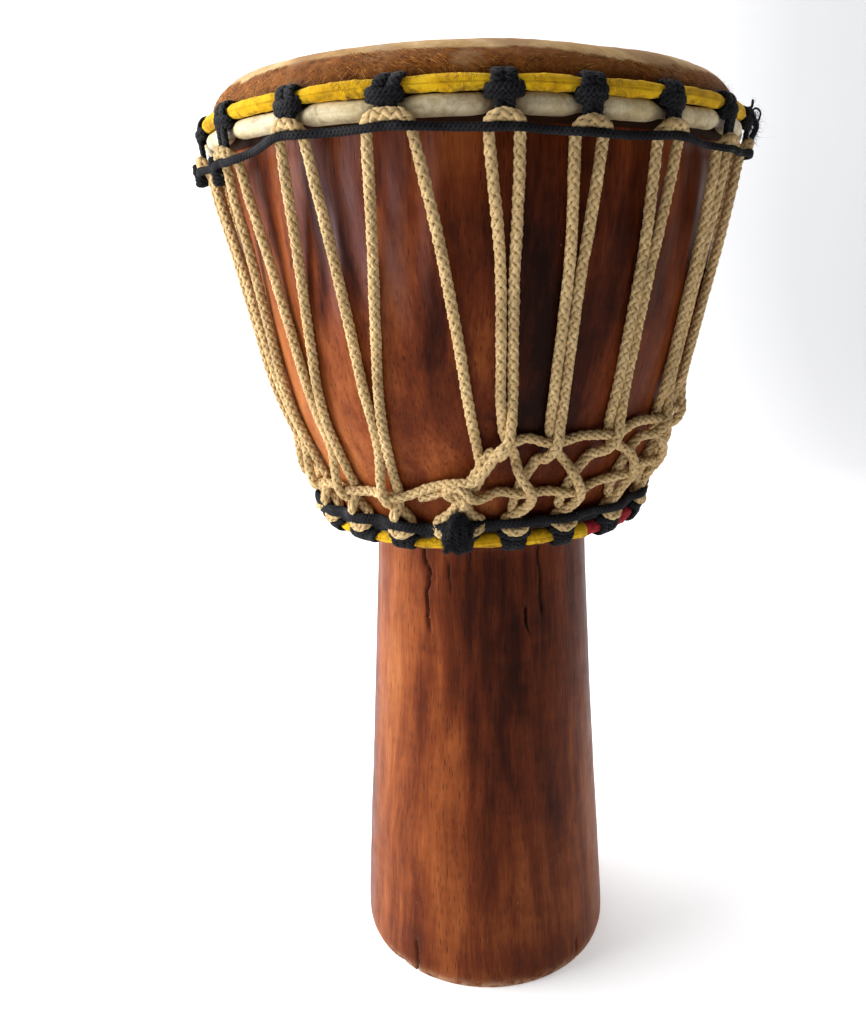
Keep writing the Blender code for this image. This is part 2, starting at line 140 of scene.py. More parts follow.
# the tassel: points (radius, azimuth, height) of three cords, width, thickness, seed
FRAYED = [
    ([(0.1712, 77.2, 0.6035), (0.1740, 78.8, 0.6025), (0.1762, 80.2, 0.5985),
      (0.1786, 81.2, 0.5958), (0.1774, 81.6, 0.5912), (0.1752, 81.0, 0.5876)],
     0.0044, 0.0030, 1),
    ([(0.1735, 78.6, 0.6020), (0.1770, 80.0, 0.6052), (0.1804, 81.2, 0.6030),
      (0.1796, 81.8, 0.5975)], 0.0011, 0.0010, 2),
    ([(0.1722, 78.0, 0.6020), (0.1746, 79.2, 0.6066), (0.1750, 80.2, 0.6104)],
     0.0018, 0.0014, 4)]

# ---------------------------------------------------------------- numbers


def vnoise(p, seed):
    """A smooth random field from -1 to 1 with one cell per unit."""
    p = np.asarray(p, float)
    cell = np.floor(p).astype(np.int64)
    f = p - cell
    f = f * f * (3.0 - 2.0 * f)
    total = np.zeros(p.shape[:-1])
    for corner in range(8):
        d = np.array([corner & 1, corner >> 1 & 1, corner >> 2 & 1])
        i = cell + d
        h = (i[..., 0] * 374761393 + i[..., 1] * 668265263
             + i[..., 2] * 1440662683 + seed * 974634777) & 0xFFFFFFFF
        h = ((h ^ (h >> 13)) * 1274126177) & 0xFFFFFFFF
        h = h ^ (h >> 16)
        weight = np.prod(np.where(d == 1, f, 1.0 - f), axis=-1)
        total += weight * ((h & 0xFFFF) / 32767.5 - 1.0)
    return total


def noise_at(seed, x, y=0.0, z=0.0):
    """The same field at coordinates given one by one."""
    return vnoise(np.stack(np.broadcast_arrays(x, y, z), axis=-1), seed)


def cyl(radius, azimuth, z):
    a = np.radians(azimuth)
    return np.stack(np.broadcast_arrays(radius * np.sin(a), -radius * np.cos(a), z),
                    axis=-1)


def outward(azimuth):
    """Unit vectors away from the axis and round it."""
    return cyl(1.0, azimuth, 0.0), cyl(1.0, azimuth + 90.0, 0.0)


def wrap(degrees):
    return (degrees + 180.0) % 360.0 - 180.0


def bell(x):
    return np.exp(-x ** 2)


def smoothstep(x):
    x = np.clip(x, 0.0, 1.0)
    return x * x * (3.0 - 2.0 * x)


def unit(v):
    return v / np.maximum(np.linalg.norm(v, axis=-1, keepdims=True), 1e-12)


def lengths(p):
    """Distance run along a line of points."""
    return np.r_[0.0, np.cumsum(np.linalg.norm(np.diff(p, axis=0), axis=1))]


def blunt(s):
    """Rounds off both ends of a cord that is s long."""
    return np.sqrt(np.clip(np.minimum(s, s[-1] - s) / CORD_END, 0.02, 1.0))


def smooth_path(points, step, closed=False):
    """An evenly spaced curve through the points (centripetal Catmull-Rom)."""
    p = np.asarray(points, float)
    keep = np.r_[True, np.linalg.norm(np.diff(p, axis=0), axis=1) > 1e-6]
    p = p[keep]
    if closed:
        p = np.vstack([p[-2:], p, p[:3]])
    t = np.r_[0.0, np.cumsum(np.sqrt(np.linalg.norm(np.diff(p, axis=0), axis=1)))]
    d = np.diff(p, axis=0) / np.diff(t)[:, None]
    m = np.empty_like(p)
    m[0], m[-1] = d[0], d[-1]
    wide = (p[2:] - p[:-2]) / (t[2:] - t[:-2])[:, None]
    m[1:-1] = d[:-1] - wide + d[1:]
    first, last = (2, len(p) - 3) if closed else (0, len(p) - 1)
    out = []
    u = np.linspace(0.0, 1.0, 24, endpoint=False)[:, None]
    for i in range(first, last):
        w = t[i + 1] - t[i]
        out.append((2 * u**3 - 3 * u**2 + 1) * p[i] + (u**3 - 2 * u**2 + u) * w * m[i]
                   + (3 * u**2 - 2 * u**3) * p[i + 1] + (u**3 - u**2) * w * m[i + 1])
    q = np.vstack(out + [p[last][None]])
    s = lengths(q)
    count = max(int(round(s[-1] / step)), 3)
    at = np.linspace(0.0, s[-1], count + 1)
    if closed:
        at = at[:-1]
    return np.stack([np.interp(at, s, q[:, c]) for c in range(q.shape[1])], -1), at


def frames(p, closed=False, up=None):
    """Directions along a path, up from it (by default away from the axis), across it."""
    if closed:
        t = unit(np.roll(p, -1, 0) - np.roll(p, 1, 0))
    else:
        t = unit(np.gradient(p, axis=0))
    if up is None:
        up = p * FLAT
    n = unit(up - np.sum(up * t, -1, keepdims=True) * t)
    return t, n, np.cross(t, n)


def sweep(path, side, out, x, y):
    """Rings of points round a path, x of the way along side and y along out."""
    return path[:, None] + side[:, None] * x[..., None] + out[:, None] * y[..., None]


def bowl_radius(z):
    r, h = zip(*SHELL_OUTER)
    return np.interp(z, h, r)


def on_bowl(azimuth, z, height):
    slope = (bowl_radius(z + 0.006) - bowl_radius(z - 0.006)) / 0.012
    length = np.hypot(1.0, slope)
    return cyl(bowl_radius(z) + height / length, azimuth,
               z - height * slope / length)


def nearest(azimuth, stations):
    """Signed degrees from the nearest station."""
    d = wrap(azimuth[..., None] - np.asarray(stations))
    k = np.argmin(np.abs(d), axis=-1)
    return np.take_along_axis(d, k[..., None], -1)[..., 0]


def settle(p):
    """Hand-carved shape: the bowl stands a little left of the stem, its rim tilts."""
    p = p.copy()
    x, z = p[:, 0], p[:, 2]     # views of p, so the lean is in x before the dip
    lift = smoothstep((z - 0.600) / 0.014) * np.maximum(-x, 0.0) / 0.150
    sag = smoothstep((z - 0.565) / 0.012) * smoothstep(x / 0.090)
    x -= (BOWL_LEAN * smoothstep((z - 0.370) / 0.060)
          + RIM_LEAN * smoothstep((z - 0.520) / 0.070))
    at_ring = bell((z - 0.361) / 0.013) * smoothstep(
        (np.hypot(x, p[:, 1]) - 0.096) / 0.010)
    dip = at_ring * (smoothstep((0.012 - x) / 0.050)
                     + 0.7 * smoothstep((-x - 0.065) / 0.045))
    z += LEFT_LIFT * lift - RIGHT_SAG * sag - FOOT_DIP * dip
    return p


# ---------------------------------------------------------------- meshes


class Soup:
    """Vertices, faces and vertex attributes gathered into one object."""

    def __init__(self):
        self.verts, self.faces, self.extra, self.count = [], [], {}, 0

    def add(self, verts, faces, **extra):
        """Attribute values are spread over the vertices; a tuple makes a vector."""
        shape = np.shape(verts)[:-1]
        self.faces.append(faces + self.count)
        self.verts.append(verts.reshape(-1, 3))
        self.count += len(self.verts[-1])
        for key, value in extra.items():
            parts = value if isinstance(value, tuple) else (value,)
            self.extra.setdefault(key, []).append(
                np.stack([np.broadcast_to(part, shape).ravel() for part in parts], -1))

    def build(self, name, look, nodes=()):
        mesh = bpy.data.meshes.new(name)
        verts = settle(np.concatenate(self.verts)).astype(np.float32)
        sizes = np.concatenate([np.full(len(f), f.shape[1]) for f in self.faces])
        loops = np.concatenate([f.ravel() for f in self.faces]).astype(np.int32)
        mesh.vertices.add(len(verts))
        mesh.vertices.foreach_set("co", verts.ravel())
        mesh.loops.add(len(loops))
        mesh.loops.foreach_set("vertex_index", loops)
        mesh.polygons.add(len(sizes))
        mesh.polygons.foreach_set("loop_start",
                                  np.r_[0, np.cumsum(sizes)[:-1]].astype(np.int32))
        mesh.polygons.foreach_set("use_smooth", np.ones(len(sizes), bool))
        mesh.update(calc_edges=True)
        for key, values in self.extra.items():
            data = np.concatenate(values).astype(np.float32)
            kind, field = (("FLOAT_VECTOR", "vector") if data.shape[1] == 3
                           else ("FLOAT", "value"))
            layer = mesh.attributes.new(key, kind, "POINT")
            layer.data.foreach_set(field, data.ravel())
        mesh.materials.append(look.mat)
        obj = bpy.data.objects.new(name, mesh)
        bpy.context.scene.collection.objects.link(obj)
        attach(obj, "root")
        if nodes:
            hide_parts(*nodes)


def grid(rows, cols, wrap=False, wrap_rows=False):
    i, j = np.meshgrid(np.arange(rows if wrap_rows else rows - 1),
                       np.arange(cols if wrap else cols - 1), indexing="ij")
    i2, j2 = (i + 1) % rows, (j + 1) % cols
    return np.stack([i * cols + j, i2 * cols + j, i2 * cols + j2, i * cols + j2],
                    -1).reshape(-1, 4)


def rope(soup, points, radius, seed, step, closed=False):
    """A round braid: four strands each way, each passing over and under."""
    p, s = smooth_path(points, step, closed)
    swell = 1.0
    if p.shape[1] == 4:
        p, swell = p[:, :3], p[:, 3] / SWELL
        s = lengths(p)
    total = s[-1] + (step if closed else 0.0)
    pitch = total / max(round(total / ROPE_PITCH), 1)
    t, n, b = frames(p, closed)
    wobble = swell + 0.035 * noise_at(5, s * 90, 0, seed)
    if not closed:
        wobble = wobble * blunt(s)
    wave = np.cos(STRANDS * TAU * s / pitch)
    phi = TAU * (np.arange(STRAND_SIDES) + 0.5) / STRAND_SIDES
    for way in (1, -1):
        for i in range(STRANDS):
            theta = TAU * i / STRANDS + way * TAU * s / pitch
            jitter = 0.06 * noise_at(seed, s * 160, i, way)
            r = radius * wobble * (0.62 + 0.100 * way * wave + jitter * 0.5)
            out = np.cos(theta)[:, None] * n + np.sin(theta)[:, None] * b
            centre = p + out * r[:, None]
            run = frames(centre, closed)[0]
            thick = (radius * wobble * (1 + jitter))[:, None]
            verts = sweep(centre, np.cross(run, out), out, 0.45 * thick * np.cos(phi),
                          0.285 * thick * np.sin(phi))
            # deep: high on strands that pass over and on their outer faces; the rope look paints
            # shade where it is low
            deep = (0.5 + 0.5 * way * wave)[:, None] * 0.6 + 0.4 * (0.5 + 0.5 * np.sin(phi))
            lay = (s[:, None], np.cos(phi) * 0.0012, i * 0.37 + way * 1.7 + seed * 0.13)
            soup.add(verts, grid(len(p), STRAND_SIDES, True, closed), lay=lay, deep=deep)
    return p, n, b, t


def cord(soup, points, up, width, thick, seed, closed=False):
    """A flat braided cord; up gives the direction its flat face looks at points."""
    face = None
    if up is None:
        p, s = smooth_path(points, CORD_STEP, closed)
    else:
        both = np.hstack([np.asarray(points, float), np.asarray(up, float) * 0.01])
        q, _ = smooth_path(both, CORD_STEP, closed)
        p, face = q[:, :3], q[:, 3:]
        s = lengths(p)
    t, n, b = frames(p, closed, face)
    total = s[-1] + (CORD_STEP if closed else 0.0)
    pitch = total / max(round(total / CORD_PITCH * 4), 1) * 4
    phi = TAU * np.arange(CORD_SIDES) / CORD_SIDES
    turns = 4 * TAU * s[:, None] / pitch
    lump = np.maximum(np.cos(4 * phi + turns), np.cos(4 * phi - turns))
    swell = 1.0 + 0.06 * noise_at(9, s * 130, 0, seed)
    if not closed:
        swell = swell * blunt(s)
    x = width / 2 * np.sign(np.cos(phi)) * np.abs(np.cos(phi)) ** 0.8
    y = thick / 2 * np.sin(phi)
    size = swell[:, None] * (0.95 + 0.24 * lump)
    # deep: high on the braid's lumps, low in its grooves; the black look paints shade in the
    # grooves and a highlight on the lumps
    soup.add(sweep(p, b, n, size * x, size * y), grid(len(p), CORD_SIDES, True, closed),
             lay=(s[:, None], phi, seed), deep=0.5 + 0.5 * lump)
    return p, n, b, t


def hairs(soup, roots, aim, lift, length, width, rng, curl, parts=3, tone=None):
    """Thin bent ribbons: aim is their run along the surface, lift points off it."""
    k = len(roots)
    u = np.linspace(0.0, 1.0, parts + 1)
    side = unit(np.cross(aim, lift))
    bend = rng.normal(0.0, curl, (k, 1))
    rise = rng.uniform(0.1, 0.55, (k, 1))
    long = length[:, None]
    spine = np.stack([roots + aim * (long * v) + side * (long * bend * v * v)
                      + lift * (long * rise * v * (1.15 - v)) for v in u], 1)
    half = side[:, None] * (width[:, None] * (1.0 - 0.75 * u) / 2)[..., None]
    base = np.arange(k)[:, None] * (2 * (parts + 1)) + np.arange(parts) * 2
    faces = np.stack([base, base + 1, base + 3, base + 2], -1).reshape(-1, 4)
    if tone is None:
        tone = rng.uniform(0, 1, k)
    # deep=1.0 puts these fibres on top, so the black look paints a highlight on them
    soup.add(np.stack([spine - half, spine + half], 2), faces,
             lay=(u[:, None], tone[:, None, None], 0.0), deep=1.0)


# ---------------------------------------------------------------- materials


class Look:
    """A material in the making; colours are linear (r, g, b)."""

    def __init__(self, name, roughness, **surface):
        self.mat = bpy.data.materials.new(name)
        self.mat.use_nodes = True
        self.tree = self.mat.node_tree
        self.shader = self.tree.nodes["Principled BSDF"]
        surface = {"Roughness": roughness, "Specular_IOR_Level": 0.15, **surface}
        for key, value in surface.items():
            self.put(self.shader.inputs[key.replace("_", " ")], value)
        self.here = self.node("ShaderNodeTexCoord").outputs["Object"]

    def put(self, socket, value):
        if isinstance(value, bpy.types.NodeSocket):
            self.tree.links.new(value, socket)
        elif socket.type == "RGBA":
            socket.default_value = value + (1.0,)
        else:
            socket.default_value = value

    def node(self, kind, props=None, **inputs):
        """A new node; _0, _1 and so on are inputs by number."""
        made = self.tree.nodes.new(kind)
        for key, value in (props or {}).items():
            setattr(made, key, value)
        for key, value in inputs.items():
            number = key[1:]
            self.put(made.inputs[int(number) if number.isdigit() else key], value)
        return made

    def stretch(self, scale, vector=None):
        return self.node("ShaderNodeMapping", Vector=vector or self.here,
                         Scale=scale).outputs[0]

    def noise(self, scale, detail=4.0, rough=0.55, twist=0.0, at=None):
        return self.node("ShaderNodeTexNoise", Vector=at or self.here, Scale=scale,
                         Detail=detail, Roughness=rough, Distortion=twist).outputs["Fac"]

    def cells(self, scale, at=None):
        return self.node("ShaderNodeTexVoronoi", Vector=at or self.here,
                         Scale=scale).outputs["Distance"]

    def ramp(self, fac, stops):
        """Stops are (place, colour) or (place, grey value)."""
        made = self.node("ShaderNodeValToRGB", Fac=fac)
        line = made.color_ramp.elements
        while len(line) < len(stops):
            line.new(0.5)
        for element, (place, colour) in zip(line, stops):
            element.position = place
            element.color = (colour if isinstance(colour, tuple) else (colour,) * 3) + (1.0,)
        return made.outputs["Color"]

    def fade(self, fac, low, high, start=0.0, end=1.0):
        return self.ramp(fac, [(low, start), (high, end)])

    def mix(self, fac, a, b):
        return self.node("ShaderNodeMix", {"data_type": "RGBA"}, _0=fac, _6=a,
                         _7=b).outputs[2]

    def math(self, op, a, b=0.0, clamp=False):
        return self.node("ShaderNodeMath", {"operation": op, "use_clamp": clamp},
                         _0=a, _1=b).outputs[0]

    def times(self, a, b, clamp=False):
        return self.math("MULTIPLY", a, b, clamp)

    def weigh(self, *terms):
        """The sum of (value, weight) pairs."""
        total = self.times(*terms[0])
        for value, weight in terms[1:]:
            total = self.math("ADD", total, self.times(value, weight))
        return total

    def attr(self, name, output="Fac"):
        return self.node("ShaderNodeAttribute", {"attribute_name": name}).outputs[output]

    def lay(self):
        """Place along and round a cord or cloth, or along a hair and its tone."""
        return self.attr("lay", "Vector")

    def split(self, vector):
        return self.node("ShaderNodeSeparateXYZ", Vector=vector).outputs

    def bump(self, height, distance, strength, below=None):
        made = self.node("ShaderNodeBump", Height=height, Distance=distance,
                         Strength=strength)
        if below:
            self.put(made.inputs["Normal"], below)
        return made.outputs[0]

    def finish(self, colour, rough=None, normal=None):
        for key, value in (("Base Color", colour), ("Roughness", rough), ("Normal", normal)):
            if value:
                self.put(self.shader.inputs[key], value)
        return self


def wood_look():
    w = Look("carved_wood", 0.42, Specular_IOR_Level=0.32, IOR=1.18)
    wavy = w.noise(9.0, 3.0, 0.5, at=w.stretch((1, 1, 0.35)))
    lean = w.node("ShaderNodeCombineXYZ", X=w.times(wavy, 0.055), Y=w.times(wavy, -0.04))
    swirl = w.node("ShaderNodeVectorMath", {"operation": "ADD"},
                   _0=w.stretch((1, 1, 0.12)), _1=lean.outputs[0]).outputs[0]
    grain = w.noise(95.0, 6.0, 0.62, at=swirl)
    broad = w.noise(21.0, 3.0, 0.5, 0.4, swirl)
    fine = w.noise(620.0, 2.0, 0.6, at=w.stretch((1, 1, 0.05)))
    ripple = w.noise(34.0, 3.0, 0.5, 0.6, w.stretch((1, 1, 2.2)))
    # tone darkens the wood's patches; over the stem's centre and right it also carries painted
    # shade
    value = w.weigh((grain, 0.65), (broad, 0.80), (fine, 0.22), (ripple, 0.16),
                    (w.attr("tone"), -0.52))
    colour = w.ramp(w.math("SUBTRACT", value, 0.375), [
        (0.02, (0.013, 0.0032, 0.0014)), (0.20, (0.044, 0.0080, 0.0024)),
        (0.42, (0.128, 0.0255, 0.0066)), (0.60, (0.245, 0.0620, 0.0155)),
        (0.85, (0.400, 0.1350, 0.0400))])
    pore = w.fade(w.cells(560.0, w.stretch((1, 1, 0.10))), 0.10, 0.26, 1.0, 0.0)
    colour = w.mix(w.times(pore, 0.62), colour, (0.020, 0.006, 0.004))
    dots = w.fade(w.cells(150.0, w.stretch((1, 1, 0.5))), 0.045, 0.07, 1.0, 0.0)
    some = w.fade(w.noise(26.0, 2.0), 0.58, 0.66)
    colour = w.mix(w.times(dots, w.times(some, 0.55)), colour, (0.42, 0.24, 0.14))
    worn, inside = w.attr("worn"), w.attr("inside")
    rub = w.fade(w.noise(160.0, 4.0, 0.6), 0.35, 0.62)
    colour = w.mix(w.times(worn, rub), colour, (0.50, 0.30, 0.17))
    raw = w.ramp(w.weigh((grain, 0.6), (fine, 0.4)), [
        (0.3, (0.13, 0.060, 0.030)), (0.7, (0.34, 0.19, 0.10))])
    colour = w.mix(inside, colour, raw)
    # painted reflection: the window's streaks are mixed into the colour as a mauve-grey sheen
    gloss = w.times(w.attr("gloss"), w.fade(grain, 0.35, 0.62, 0.25, 0.85))
    colour = w.mix(gloss, colour, (0.215, 0.135, 0.140))
    colour = w.mix(w.attr("crack"), colour, (0.010, 0.004, 0.003))
    rough = w.weigh((w.noise(60.0, 3.0), 0.30), (inside, 0.3), (worn, 0.2))
    high = w.weigh((fine, 0.55), (grain, 0.6), (pore, -0.55))
    return w.finish(colour, w.math("ADD", rough, 0.25, True), w.bump(high, 0.0007, 0.55))


def skin_look():
    """Shaved hide: cream with tan mottling, brown where the hair is left on."""
    w = Look("goatskin", 0.70, Specular_IOR_Level=0.07, Subsurface_Weight=0.06, **HIDE)
    blot = w.noise(24.0, 5.0, 0.6, 0.5)
    small = w.noise(190.0, 4.0, 0.6)
    tiny = w.noise(900.0, 2.0, 0.6)
    base = w.ramp(w.weigh((blot, 0.7), (small, 0.3)), [
        (0.30, (0.29, 0.150, 0.048)), (0.46, (0.45, 0.270, 0.105)),
        (0.60, (0.61, 0.430, 0.220)), (0.80, (0.78, 0.630, 0.410))])
    tan = w.ramp(w.weigh((blot, 0.4), (small, 0.6)), [
        (0.35, (0.090, 0.026, 0.005)), (0.65, (0.300, 0.105, 0.020))])
    fur = w.attr("fur")
    colour = w.mix(fur, base, tan)
    colour = w.mix(w.times(w.attr("stain"), 0.75), colour, (0.30, 0.165, 0.075))
    colour = w.mix(w.attr("shade"), colour, (0.022, 0.008, 0.004))
    dots = w.fade(w.cells(620.0), 0.10, 0.22, 0.5, 0.0)
    colour = w.mix(w.times(dots, w.math("SUBTRACT", 1.0, fur)), colour, (0.36, 0.21, 0.10))
    normal = w.bump(w.weigh((small, 1.0), (tiny, 0.5)), 0.0006, 0.5)
    return w.finish(colour, w.fade(blot, 0.3, 0.7, 0.74, 0.58), normal)


def roll_look():
    """The hide rolled over the flesh ring: paler, streaked and dirty."""
    w = Look("skin_roll", 0.45, Specular_IOR_Level=0.3, Subsurface_Weight=0.05, **HIDE)
    blot = w.noise(45.0, 5.0, 0.6, 0.3)
    small = w.noise(380.0, 4.0, 0.65)
    streak = w.noise(1.0, 3.0, 0.6, at=w.stretch((900.0, 12.0, 1.0), w.lay()))
    colour = w.ramp(w.weigh((blot, 0.65), (small, 0.35)), [
        (0.28, (0.42, 0.30, 0.145)), (0.44, (0.62, 0.50, 0.275)),
        (0.60, (0.82, 0.72, 0.480)), (0.80, (0.93, 0.89, 0.740))])
    lines = w.fade(streak, 0.30, 0.40, 0.375, 0.0)
    colour = w.mix(lines, colour, (0.22, 0.13, 0.06))
    mould = w.fade(w.noise(85.0, 5.0, 0.7, 0.9), 0.48, 0.68, 0.0, 0.72)
    colour = w.mix(mould, colour, (0.24, 0.165, 0.085))
    # stain also carries painted shade on the underside of the roll
    colour = w.mix(w.times(w.attr("stain"), 0.85), colour, (0.12, 0.070, 0.030))
    dots = w.fade(w.cells(540.0), 0.08, 0.2, 0.45, 0.0)
    colour = w.mix(dots, colour, (0.30, 0.19, 0.09))
    normal = w.bump(w.weigh((streak, 0.7), (small, 0.6)), 0.0007, 0.55)
    return w.finish(colour, w.fade(small, 0.3, 0.7, 0.55, 0.38), normal)


def fur_look():
    w = Look("fur_hair", 0.62, Specular_IOR_Level=0.06)
    along, tone = w.split(w.lay())[:2]
    root = w.ramp(tone, [(0.0, (0.030, 0.0070, 0.0012)), (0.5, (0.180, 0.048, 0.0060)),
                         (0.85, (0.360, 0.115, 0.0160)), (1.0, (0.56, 0.26, 0.070))])
    tip = w.ramp(tone, [(0.0, (0.130, 0.034, 0.0050)), (0.5, (0.400, 0.130, 0.0190)),
                        (1.0, (0.780, 0.390, 0.0900))])
    patch = w.fade(w.noise(30.0, 3.0), 0.35, 0.65)
    colour = w.mix(along, root, tip)
    colour = w.mix(w.times(patch, 0.25), colour, (0.50, 0.20, 0.040))
    # painted shade: the hair darkens towards the bottom of the band, where the hide turns down
    low = w.times(w.math("SUBTRACT", 0.6085, w.split(w.here)[2]), 130.0, True)
    colour = w.mix(w.times(low, 0.62), colour, (0.030, 0.010, 0.003))
    return w.finish(colour, w.fade(along, 0.0, 1.0, 0.6, 0.42))


def rope_look():
    w = Look("natural_rope", 0.8)
    lay, deep = w.lay(), w.attr("deep")
    fibre = w.noise(1.0, 3.0, 0.6, at=w.stretch((160.0, 5200.0, 40.0), lay))
    patch = w.noise(1.0, 3.0, 0.6, at=w.stretch((28.0, 0.0, 3.0), lay))
    colour = w.ramp(w.weigh((fibre, 0.55), (patch, 0.45)), [
        (0.28, (0.340, 0.206, 0.078)), (0.45, (0.590, 0.402, 0.182)),
        (0.60, (0.755, 0.556, 0.288)), (0.80, (0.900, 0.760, 0.490))])
    dirt = w.fade(w.noise(42.0, 4.0, 0.6), 0.42, 0.72, 0.0, 0.58)
    colour = w.mix(dirt, colour, (0.30, 0.20, 0.09))
    # painted shade in the grooves between strands and on their inner faces
    colour = w.mix(w.fade(deep, 0.10, 0.68, 0.92, 0.0), colour, (0.075, 0.044, 0.018))
    return w.finish(colour, None, w.bump(fibre, 0.0005, 0.6))


def cloth_look(name, light, mid, dark, stain_colour):
    w = Look(name, 0.9, Sheen_Weight=0.04, Specular_IOR_Level=0.08)
    lay = w.lay()
    warp, weft = (w.math("SINE", w.times(part, TAU / THREAD)) for part in w.split(lay)[:2])
    weave = w.times(warp, weft)
    fade = w.noise(60.0, 4.0, 0.6, 0.4)
    fine = w.noise(700.0, 3.0, 0.6)
    colour = w.ramp(w.weigh((fade, 0.8), (fine, 0.2)),
                    [(0.28, dark), (0.46, mid), (0.72, light)])
    colour = w.mix(w.times(w.math("ADD", weave, 1.0), 0.09), colour, dark)
    patch = w.fade(w.noise(95.0, 5.0, 0.65, 0.8), 0.50, 0.66)
    colour = w.mix(w.times(patch, w.attr("stain"), True), colour, stain_colour)
    crease = w.noise(1.0, 3.0, 0.55, 0.6, w.stretch((150.0, 420.0, 1.0), lay))
    fold = w.noise(1.0, 3.0, 0.6, 1.6, w.stretch((210.0, 90.0, 1.0), lay))
    line = w.ramp(fold, [(0.460, 0.0), (0.490, 0.60), (0.510, 0.60), (0.540, 0.0)])
    some = w.fade(w.noise(70.0, 2.0), 0.44, 0.56)
    colour = w.mix(w.times(line, some), colour, stain_colour)
    warm = w.fade(w.noise(40.0, 3.0, 0.6), 0.52, 0.70, 0.0, 0.55)
    colour = w.mix(warm, colour, dark)
    normal = w.bump(weave, 0.00016, 0.5, w.bump(crease, 0.0011, 0.7))
    return w.finish(colour, w.fade(fade, 0.3, 0.7, 0.95, 0.8), normal)


def black_look():
    w = Look("black_braid", 0.72)
    deep = w.attr("deep")
    fuzz = w.noise(900.0, 3.0, 0.7)
    fade = w.noise(70.0, 3.0, 0.6)
    fibre = w.noise(1.0, 2.0, at=w.stretch((700.0, 9.0, 5.0), w.lay()))
    colour = w.ramp(w.weigh((fuzz, 0.5), (fade, 0.5)), [
        (0.35, (0.0036, 0.0036, 0.0046)), (0.55, (0.0095, 0.0097, 0.0120)),
        (0.75, (0.0420, 0.0420, 0.0480))])
    # painted shade in the grooves of the braid
    colour = w.mix(w.fade(deep, 0.2, 0.75, 0.92, 0.0), colour, (0.0016, 0.0016, 0.002))
    # painted highlight on the tops of the lumps and on loose fibres
    colour = w.mix(w.fade(deep, 0.80, 1.0, 0.0, 0.35), colour, (0.055, 0.056, 0.064))
    # light specks of fluff, partly painted highlight standing in for glints on the fibres
    lint_and_glints = w.fade(w.cells(330.0), 0.05, 0.09, 0.25, 0.0)
    colour = w.mix(lint_and_glints, colour, (0.20, 0.19, 0.17))
    normal = w.bump(w.math("ADD", fibre, fuzz), 0.0004, 0.6)
    return w.finish(colour, w.fade(fade, 0.3, 0.7, 0.85, 0.6), normal)


def steel_look():
    w = Look("dull_steel", 0.45, Metallic=1.0)
    run = w.noise(220.0, 4.0, 0.6, at=w.stretch((1, 1, 3)))
    rust = w.fade(w.noise(55.0, 5.0, 0.6), 0.52, 0.68)
    colour = w.ramp(run, [(0.3, (0.20, 0.20, 0.21)), (0.7, (0.42, 0.42, 0.43))])
    colour = w.mix(rust, colour, (0.16, 0.07, 0.03))
    return w.finish(colour, w.fade(run, 0.3, 0.7, 0.6, 0.35), w.bump(run, 0.0002, 0.4))


WOOD, SKIN, ROLL, FUR = wood_look(), skin_look(), roll_look(), fur_look()
ROPE, BLACK, STEEL = rope_look(), black_look(), steel_look()
YELLOW = cloth_look("yellow_cotton", (0.94, 0.63, 0.020), (0.74, 0.41, 0.006),
                    (0.42, 0.22, 0.006), (0.085, 0.045, 0.010))
RED = cloth_look("red_cotton", (0.62, 0.040, 0.050), (0.42, 0.016, 0.024),
                 (0.17, 0.006, 0.010), (0.05, 0.010, 0.008))

lower_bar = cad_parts["bottom_ring"]
lower_bar.data.materials.clear()
lower_bar.data.materials.append(STEEL.mat)

# ---------------------------------------------------------------- shell

# cracks in the wood: azimuth, top, bottom, width, depth, sideways wander (degrees)
CRACKS = [
    (-28.5, 0.3440, 0.2720, 0.0008, 0.0032, 2.6), (-16.0, 0.3300, 0.3000, 0.0005, 0.0016, 1.8),
    (31.0, 0.3440, 0.2830, 0.0009, 0.0034, 1.0), (24.0, 0.2960, 0.2700, 0.0009, 0.0024, 3.0),
    (-6.0, 0.3380, 0.3200, 0.0004, 0.0012, 0.8), (-54.0, 0.3430, 0.3250, 0.0005, 0.0014, 0.6),
    (-33.0, 0.0300, -0.010, 0.0007, 0.0030, 1.0), (47.0, 0.0200, -0.010, 0.0005, 0.0020, 0.7),
    (-12.0, 0.2450, 0.2180, 0.0004, 0.0010, 0.6), (160.0, 0.3430, 0.2600, 0.0007, 0.0030, 1.5),
    (-120.0, 0.0600, -0.010, 0.0006, 0.0030, 1.2), (105.0, 0.4700, 0.4300, 0.0004, 0.0012, 0.8),
    (-150.0, 0.5400, 0.4900, 0.0004, 0.0014, 0.9), (-42.0, 0.5330, 0.5120, 0.0004, 0.0010, 0.5),
]
